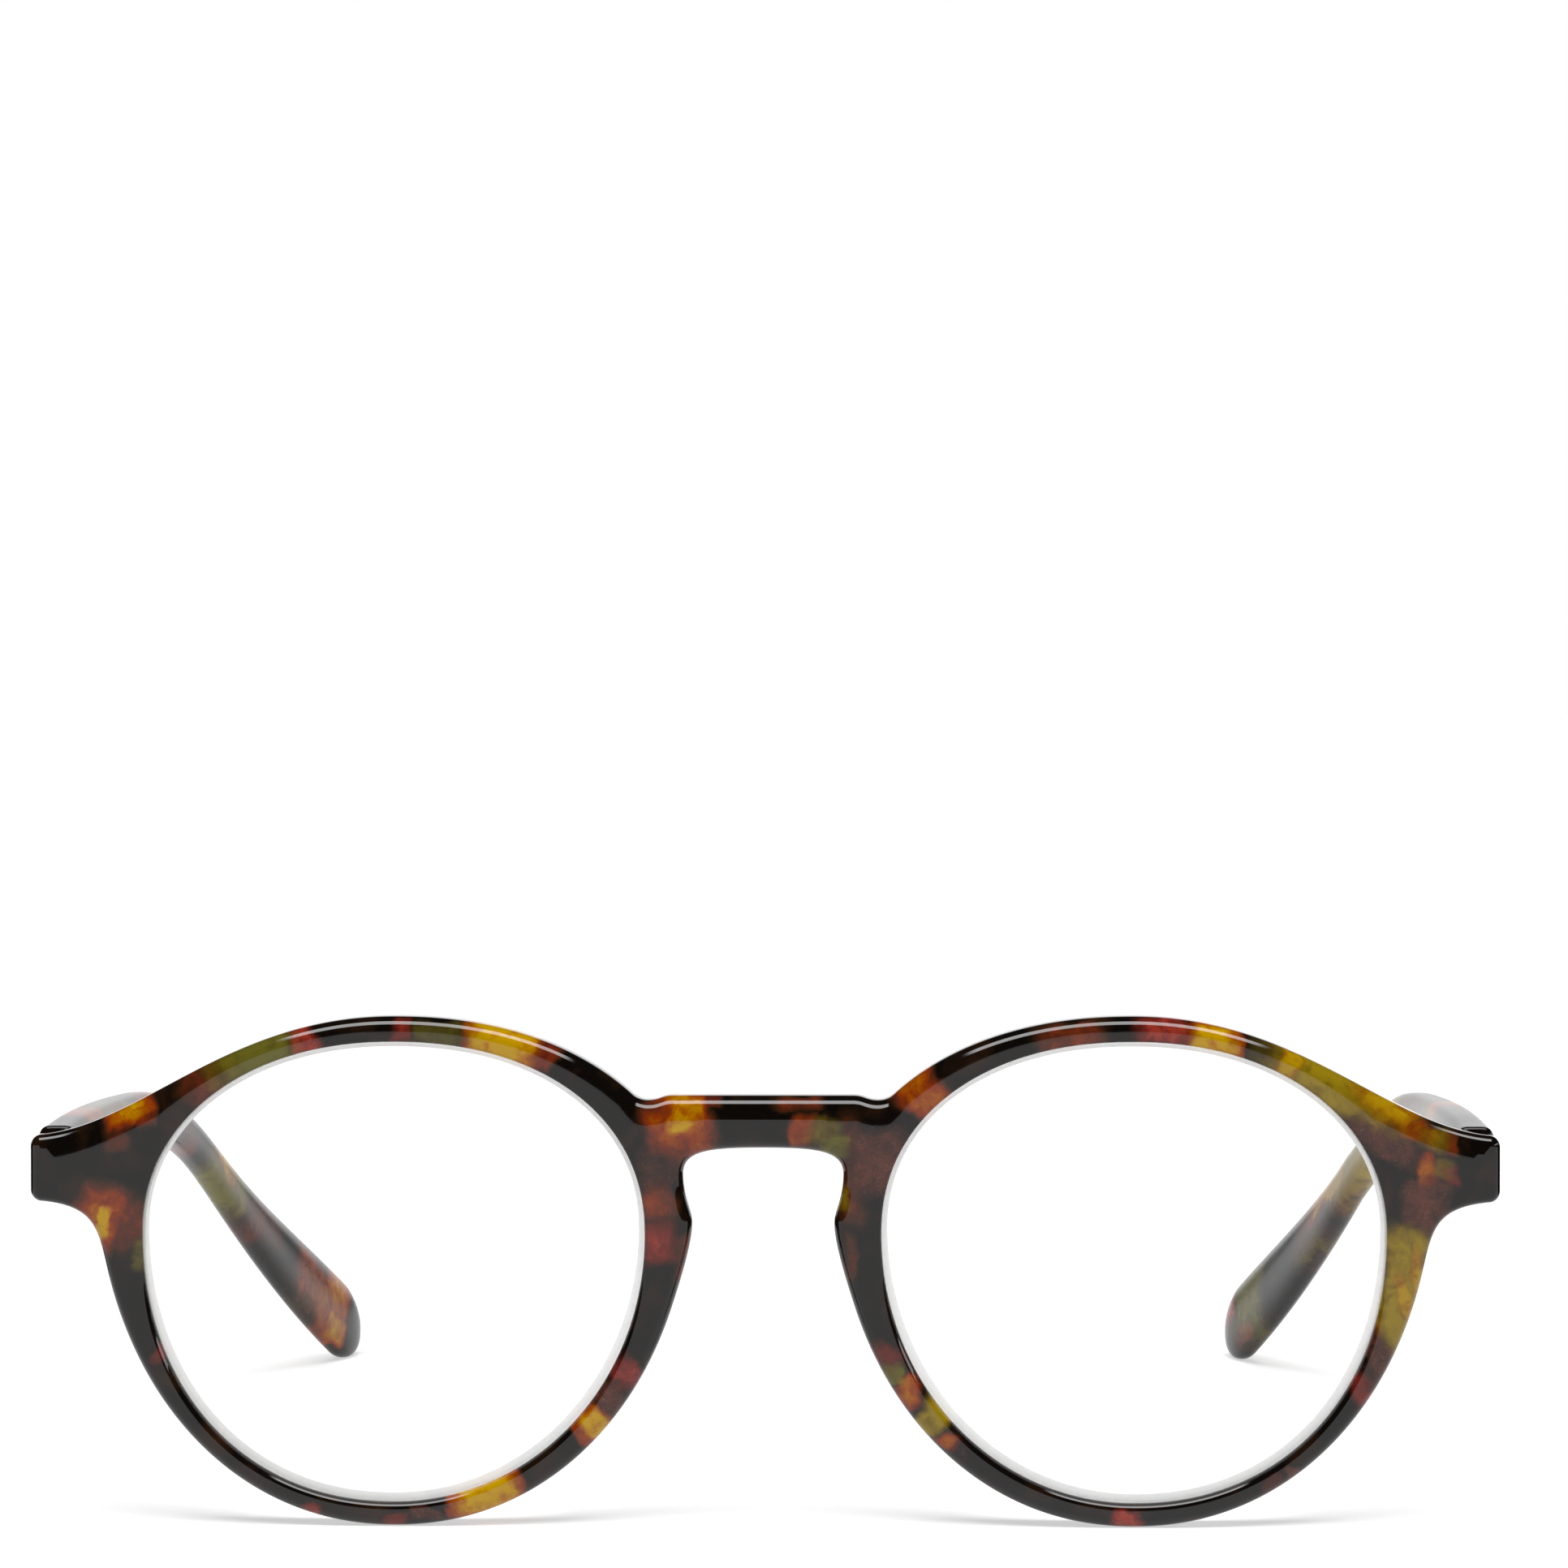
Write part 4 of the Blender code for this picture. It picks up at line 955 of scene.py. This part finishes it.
RIGHT_PATCHES = {
    "mauve": ((84, -1.9, 4, 1.6, 10, 0.8), (97, -1.2, 5, 2.6, 0, 0.7), (17, -1, 3, 2, 0, 0.6)),
    "olive": ((33, 0, 4, 2.6, 0, 0.8), (98, -2.9, 4, 0.8, 0, 0.8), (120, -0.8, 3.6, 3.6, 15, 1)),
    "khaki": ((57, 0.5, 4, 2.2, -20, 0.9), (77, 0, 9, 2.6, 0, 1.3)),
    "red": ((48, 0.6, 2.2, 1.8, 0, 0.6), (126.5, 1.6, 2, 2.8, -10, 0.95), (121.5, -4, 2.4, 1, 0, 0.85)),
    "amber": ((25, 1, 4, 1.8, 15, 0.9), (87, 0.4, 4, 1.2, 5, 1.3)),
    "warm": (
        (10, -1, 4, 2.5, 0, 0.5), (25, 0.6, 5.5, 2.8, 15, 0.6), (40, -1, 4, 2.5, 0, 0.5),
        (56, -1.5, 4, 1.5, -20, 0.5), (93, 0.6, 2.4, 1.4, -10, 0.95), (95.5, 0, 2, 1.6, 0, 0.6),
    ),
}


def placed_patches(side, patches):
    """One half's patches as (place, turn, half sizes, strength): they run through the thickness."""
    return [
        (
            Vector((x, 0, z)) * MM + Vector((0, FACE_Y, 0)),
            Euler((0, -math.radians(lean), 0)),
            Vector((half_width * PATCH_SPREAD, FRONT_PATCH_DEPTH, half_height * PATCH_SPREAD)) * MM,
            strength,
        )
        for x, z, half_width, half_height, lean, strength in patches
        if side * x > -SHARED_REACH
    ]


def temple_patches(side, patches):
    """The same for a temple, whose patches follow its middle line."""
    found = []
    for distance, rise, half_length, half_height, lean, strength in patches:
        point, direction = temple_centreline([distance * MM])[0]
        sideways, upwards = section_axes(direction)
        point = point + upwards * rise * MM + Vector((0, FACE_Y, 0))
        turn = Matrix((sideways, direction, upwards)).transposed()
        turn = turn @ Matrix.Rotation(math.radians(lean), 3, "X")
        if side < 0:
            flip = Matrix.Diagonal((-1, 1, 1))
            point = flip @ point
            turn = flip @ turn @ flip
        half_sizes = Vector((TEMPLE_PATCH_DEPTH, half_length * PATCH_SPREAD, half_height * PATCH_SPREAD))
        found.append((point, turn.to_euler(), half_sizes * MM, strength))
    return found


def patch_field(tree, place, patches):
    """1 in the middle of the strongest patches, falling to 0 at the patches' edges."""
    field = None
    for centre, turn, half_sizes, strength in patches:
        inputs = {"Vector": place, "Location": centre, "Rotation": turn, "Scale": half_sizes}
        local = add_node(tree, "ShaderNodeMapping", inputs, vector_type="TEXTURE").outputs[0]
        squares = calculate_vector(tree, "MULTIPLY", local, local)
        reach = calculate(tree, "SQRT", calculate_vector(tree, "DOT_PRODUCT", squares, squares))
        weighted = eased(tree, reach, PATCH_GONE, PATCH_FULL, strength)
        field = weighted if field is None else calculate(tree, "MAXIMUM", field, weighted)
    return field


def shifted(tree, place, offset, reach):
    """A place moved by up to half the reach each way, as a colour tells."""
    moved = calculate_vector(tree, "MULTIPLY_ADD", offset, (reach,) * 3, (-reach / 2,) * 3)
    return calculate_vector(tree, "ADD", place, moved)


def tortoiseshell(name, patches, ior, lowest_roughness):
    """Polished plastic pressed from flakes, whose patches melt into a nearly black ground."""
    material, tree, shader, surface = new_material(name)
    place = surface
    for scale, detail, reach in WARPS:
        place = shifted(tree, place, noise(tree, place, scale, detail, output="Color"), reach)
    inputs = {"Vector": place, "Scale": FLAKE_SCALE, "Smoothness": FLAKE_SOFTNESS}
    flakes = add_node(tree, "ShaderNodeTexVoronoi", inputs, feature="SMOOTH_F1")
    place = shifted(tree, place, flakes.outputs["Color"], FLAKE_REACH)

    clouds = noise(tree, place, CLOUD_SCALE, 4.0, 0.6)
    cloud_push = calculate(tree, "MULTIPLY_ADD", clouds, CLOUD_GAIN, CLOUD_FLOOR)
    ground = noise(tree, place, GROUND_SCALE, 3.0)
    colour = ramp(tree, ground, ((0.50, NEARLY_BLACK), (0.78, DARK_BROWN)))
    grains = noise(tree, place, SPECK_SCALE, 3.0, 0.7)
    specks = ramp(tree, grains, ((0.58, (0,) * 3), (0.80, (0.5,) * 3)))
    total = GROUND_WEIGHT
    for kind, stops in RAMPS.items():
        if kind not in patches:
            continue
        field = calculate(tree, "MULTIPLY", patch_field(tree, place, patches[kind]), cloud_push)
        weight = calculate(tree, "POWER", field, 2.0)
        total = calculate(tree, "ADD", weight, total)
        tint = ramp(tree, field, stops)
        if kind == "mauve":
            tint = mixed(tree, calculate(tree, "MULTIPLY", specks, field), tint, (*SPECK, 1))
        colour = mixed(tree, calculate(tree, "DIVIDE", weight, total), colour, tint)

    polish = noise(tree, surface, POLISH_SCALE, 3.0)
    ripple = noise(tree, surface, RIPPLE_SCALE)
    inputs = {
        "Base Color": colour,
        "IOR": ior,
        "Roughness": calculate(tree, "MULTIPLY_ADD", polish, ROUGHNESS_RANGE, lowest_roughness),
        "Normal": bump(tree, ripple, RIPPLE_STRENGTH, RIPPLE_DEPTH),
    }
    set_inputs(tree, shader, inputs)
    return material


def glass(name, grain_scale, detail, tints, roughness, relief, ior, transmission):
    """Glass with a fine grain: roughness is (range, lowest), and relief is (strength, depth).

    Shadow rays pass it, so that the table stays bright under it.
    """
    material, tree, shader, place = new_material(name)
    grain = noise(tree, place, grain_scale, detail)
    inputs = {
        "Base Color": mixed(tree, grain, *tints),
        "Roughness": calculate(tree, "MULTIPLY_ADD", grain, *roughness),
        "IOR": ior,
        "Transmission Weight": transmission,
        "Normal": bump(tree, grain, *relief),
    }
    set_inputs(tree, shader, inputs)
    ray = add_node(tree, "ShaderNodeLightPath", {})
    clear = add_node(tree, "ShaderNodeBsdfTransparent", {})
    inputs = {0: ray.outputs["Is Shadow Ray"], 1: shader.outputs[0], 2: clear.outputs[0]}
    joined = add_node(tree, "ShaderNodeMixShader", inputs)
    tree.links.new(joined.outputs[0], tree.nodes["Material Output"].inputs["Surface"])
    return material


def steel(name, bright, dull, roughness, streak):
    """Metal with fine brushing, drawn out along Z by a small streak, and a few darker clouds."""
    material, tree, shader, place = new_material(name)
    stretched = add_node(tree, "ShaderNodeMapping", {"Vector": place, "Scale": (1.0, 1.0, streak)})
    brushing = noise(tree, stretched.outputs[0], scale=9000.0, detail=3.0)
    clouds = noise(tree, place, scale=900.0)
    share = calculate(tree, "MULTIPLY", brushing, clouds)
    inputs = {
        "Base Color": mixed(tree, share, (*bright, 1), (*dull, 1)),
        "Metallic": 1.0,
        "Roughness": calculate(tree, "MULTIPLY_ADD", brushing, *roughness),
        "Normal": bump(tree, brushing, 0.25, 0.01 * MM),
    }
    set_inputs(tree, shader, inputs)
    return material


def table_white():
    """Matt white that gives some light of its own, so that it shows as bright as a lit backdrop."""
    material, tree, shader, place = new_material("table")
    grain = noise(tree, place, scale=40.0, detail=3.0)
    inputs = {
        "Base Color": mixed(tree, grain, (0.50, 0.50, 0.50, 1), (0.52, 0.52, 0.52, 1)),
        "Emission Color": (1, 1, 1, 1),
        "Emission Strength": 0.56,
        "Roughness": 0.9,
        "Specular IOR Level": 0.1,
    }
    set_inputs(tree, shader, inputs)
    return material


# The object

half_plastics = []
for side_name, side in (("left", -1), ("right", 1)):
    patches = {kind: placed_patches(side, found) for kind, found in FRONT_PATCHES.items()}
    half_plastics.append(tortoiseshell(f"{side_name}_front_tortoiseshell", patches, *FRONT_POLISH))
make_front(*half_plastics)
clear_glass = glass(
    "lens_glass",
    grain_scale=60.0,
    detail=2.0,
    tints=((0.985, 0.99, 0.99, 1), (1.0, 1.0, 1.0, 1)),
    roughness=(0.004, 0.0),
    relief=(0.01, 0.01 * MM),
    ior=COATED_LENS_IOR,
    transmission=1.0,
)
bevel_glass = glass(
    "lens_bevel",
    grain_scale=2500.0,
    detail=3.0,
    tints=((0.84, 0.84, 0.83, 1), (0.95, 0.95, 0.94, 1)),
    roughness=(0.2, 0.35),
    relief=(0.2, 0.02 * MM),
    ior=BEVEL_IOR,
    transmission=0.55,
)
rings = temple_rings()
for side_name, side, half_plastic, listed in (
    ("left", -1, half_plastics[0], LEFT_PATCHES),
    ("right", 1, half_plastics[1], RIGHT_PATCHES),
):
    make_lens(side_name, side, clear_glass, bevel_glass)
    make_nose_pad(side_name, side, half_plastic)
    patches = {kind: temple_patches(side, found) for kind, found in listed.items()}
    plastic = tortoiseshell(f"{side_name}_temple_tortoiseshell", patches, *TEMPLE_POLISH)
    make_temple(side_name, side, rings, plastic)

leaf_steel = steel("leaf_steel", *LEAF_COLOURS, roughness=(0.2, 0.22), streak=0.05)
screw_steel = steel("screw_steel", *SCREW_COLOURS, roughness=(0.18, 0.16), streak=1.0)
for name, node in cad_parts.items():
    if name.endswith("leaf") or "screw" in name:
        made_of = screw_steel if "screw" in name else leaf_steel
        for material_slot in node.material_slots:
            material_slot.material = made_of


# Table, light and camera

# The table is wide in front and a narrow strip behind, so that the rims' edges mirror little of it
TABLE_REACH = 6.0
TABLE_NECK = 0.13
TABLE_NECK_Y = -0.02
TABLE_FAR = 1.3

# The studio round it: radiance of its walls and of the dark between them
WALL = 1.15
DARK = 0.015

# Its walls by direction: the tangent they spread to each side, the sine of their heights, and the
# widths over which they fade. Beyond is more than any direction reaches
BACK_WALL_SPREAD = 0.38
BACK_WALL_EDGE = 0.04
BACK_WALL_TOP = 0.45
SIDE_WALL_SPREAD = 1.3
SIDE_WALL_EDGE = 0.2
SIDE_WALL_RISE = (0.03, 0.22)
FRONT_WALL_TOP = 0.02
TOP_EDGE = 0.03
SHARP_EDGE = 0.002
BEYOND = 2.0
LEAST_DIVISOR = 0.001

# Softboxes in the sky: reach along X and Y at one unit above the eye, and radiance
SOFTBOXES = (((-0.47, 0.47), (-0.75, -0.12), 9.8), ((2.6, 4.2), (-3.0, 1.0), 5.0))
SOFTBOX_EDGE = 0.04

# The camera, from the photograph's perspective
PHOTO_PIXELS = 1932
FOCAL_PIXELS = 6497.8
SENSOR_WIDTH = 36.0
CAMERA_DISTANCE = 0.500
CAMERA_X = 0.0139
CAMERA_Z = 0.08354
CAMERA_TURN = math.radians(1.355)
CAMERA_TILT = math.radians(90 - 1.453)
CAMERA_ROLL = math.radians(-0.076)

scene = bpy.context.scene

floor_mesh = bpy.data.meshes.new("table")
right_corners = [
    (TABLE_REACH, -TABLE_REACH),
    (TABLE_REACH, TABLE_NECK_Y),
    (TABLE_NECK, TABLE_NECK_Y),
    (TABLE_FAR, TABLE_REACH),
]
corners = [(x, y, 0) for x, y in right_corners] + [(-x, y, 0) for x, y in reversed(right_corners)]
floor_mesh.from_pydata(corners, [], [(7, 0, 1, 2, 5, 6), (5, 2, 3, 4)])
floor_mesh.materials.append(table_white())
floor = new_object("table", floor_mesh)

world = bpy.data.worlds.new("studio")
scene.world = world
world.use_nodes = True
sky = world.node_tree
background = sky.nodes["Background"]
direction = add_node(sky, "ShaderNodeTexCoord", {}).outputs["Generated"]
east, north, up = add_node(sky, "ShaderNodeSeparateXYZ", {0: direction}).outputs


def product(first, second):
    return calculate(sky, "MULTIPLY", first, second)


def between(value, low, high, edge):
    """1 where a value lies between two limits, 0 outside, with a soft edge at each."""
    return product(
        eased(sky, value, low - edge, low + edge), eased(sky, value, high + edge, high - edge)
    )


def wall(spread, edge, lowest, highest):
    """A wall behind the glasses."""
    rise = product(between(north, 0.0, BEYOND, SHARP_EDGE), between(up, lowest, highest, TOP_EDGE))
    return product(between(bearing, -spread, spread, edge), rise)


def softbox(across, along, radiance):
    height = calculate(sky, "MAXIMUM", up, LEAST_DIVISOR)
    x = calculate(sky, "DIVIDE", east, height)
    y = calculate(sky, "DIVIDE", north, height)
    panel = product(between(x, *across, SOFTBOX_EDGE), between(y, *along, SOFTBOX_EDGE))
    return product(panel, radiance)


bearing = calculate(sky, "DIVIDE", east, calculate(sky, "MAXIMUM", north, LEAST_DIVISOR))
back_wall = wall(BACK_WALL_SPREAD, BACK_WALL_EDGE, -BEYOND, BACK_WALL_TOP)
side_walls = wall(SIDE_WALL_SPREAD, SIDE_WALL_EDGE, *SIDE_WALL_RISE)
in_front = between(north, -BEYOND, 0.0, SHARP_EDGE)
front_wall = product(in_front, between(up, -BEYOND, FRONT_WALL_TOP, SHARP_EDGE))
walls = calculate(sky, "MAXIMUM", calculate(sky, "MAXIMUM", back_wall, side_walls), front_wall)
light = calculate(sky, "MULTIPLY_ADD", walls, WALL - DARK, DARK)
for box in SOFTBOXES:
    light = calculate(sky, "ADD", light, softbox(*box))

# The backdrop itself looks plain white, also through the lenses
ray = add_node(sky, "ShaderNodeLightPath", {})
seen = calculate(sky, "MAXIMUM", ray.outputs["Is Camera Ray"], ray.outputs["Is Transmission Ray"])
unseen = calculate(sky, "SUBTRACT", 1.0, seen)
strength = calculate(sky, "ADD", seen, product(light, unseen))
set_inputs(sky, background, {"Color": (1, 1, 1, 1), "Strength": strength})

camera_data = bpy.data.cameras.new("camera")
camera_data.sensor_width = SENSOR_WIDTH
camera_data.lens = SENSOR_WIDTH * FOCAL_PIXELS / PHOTO_PIXELS
camera = new_object("camera", camera_data)
turn = Matrix.Rotation(CAMERA_TURN, 3, "Z") @ Matrix.Rotation(CAMERA_TILT, 3, "X")
turn = turn @ Matrix.Rotation(CAMERA_ROLL, 3, "Z")
place = Matrix.Translation((CAMERA_X, FACE_Y - CAMERA_DISTANCE, CAMERA_Z))
camera.matrix_world = place @ turn.to_4x4()
scene.camera = camera
scene.view_settings.view_transform = "Standard"
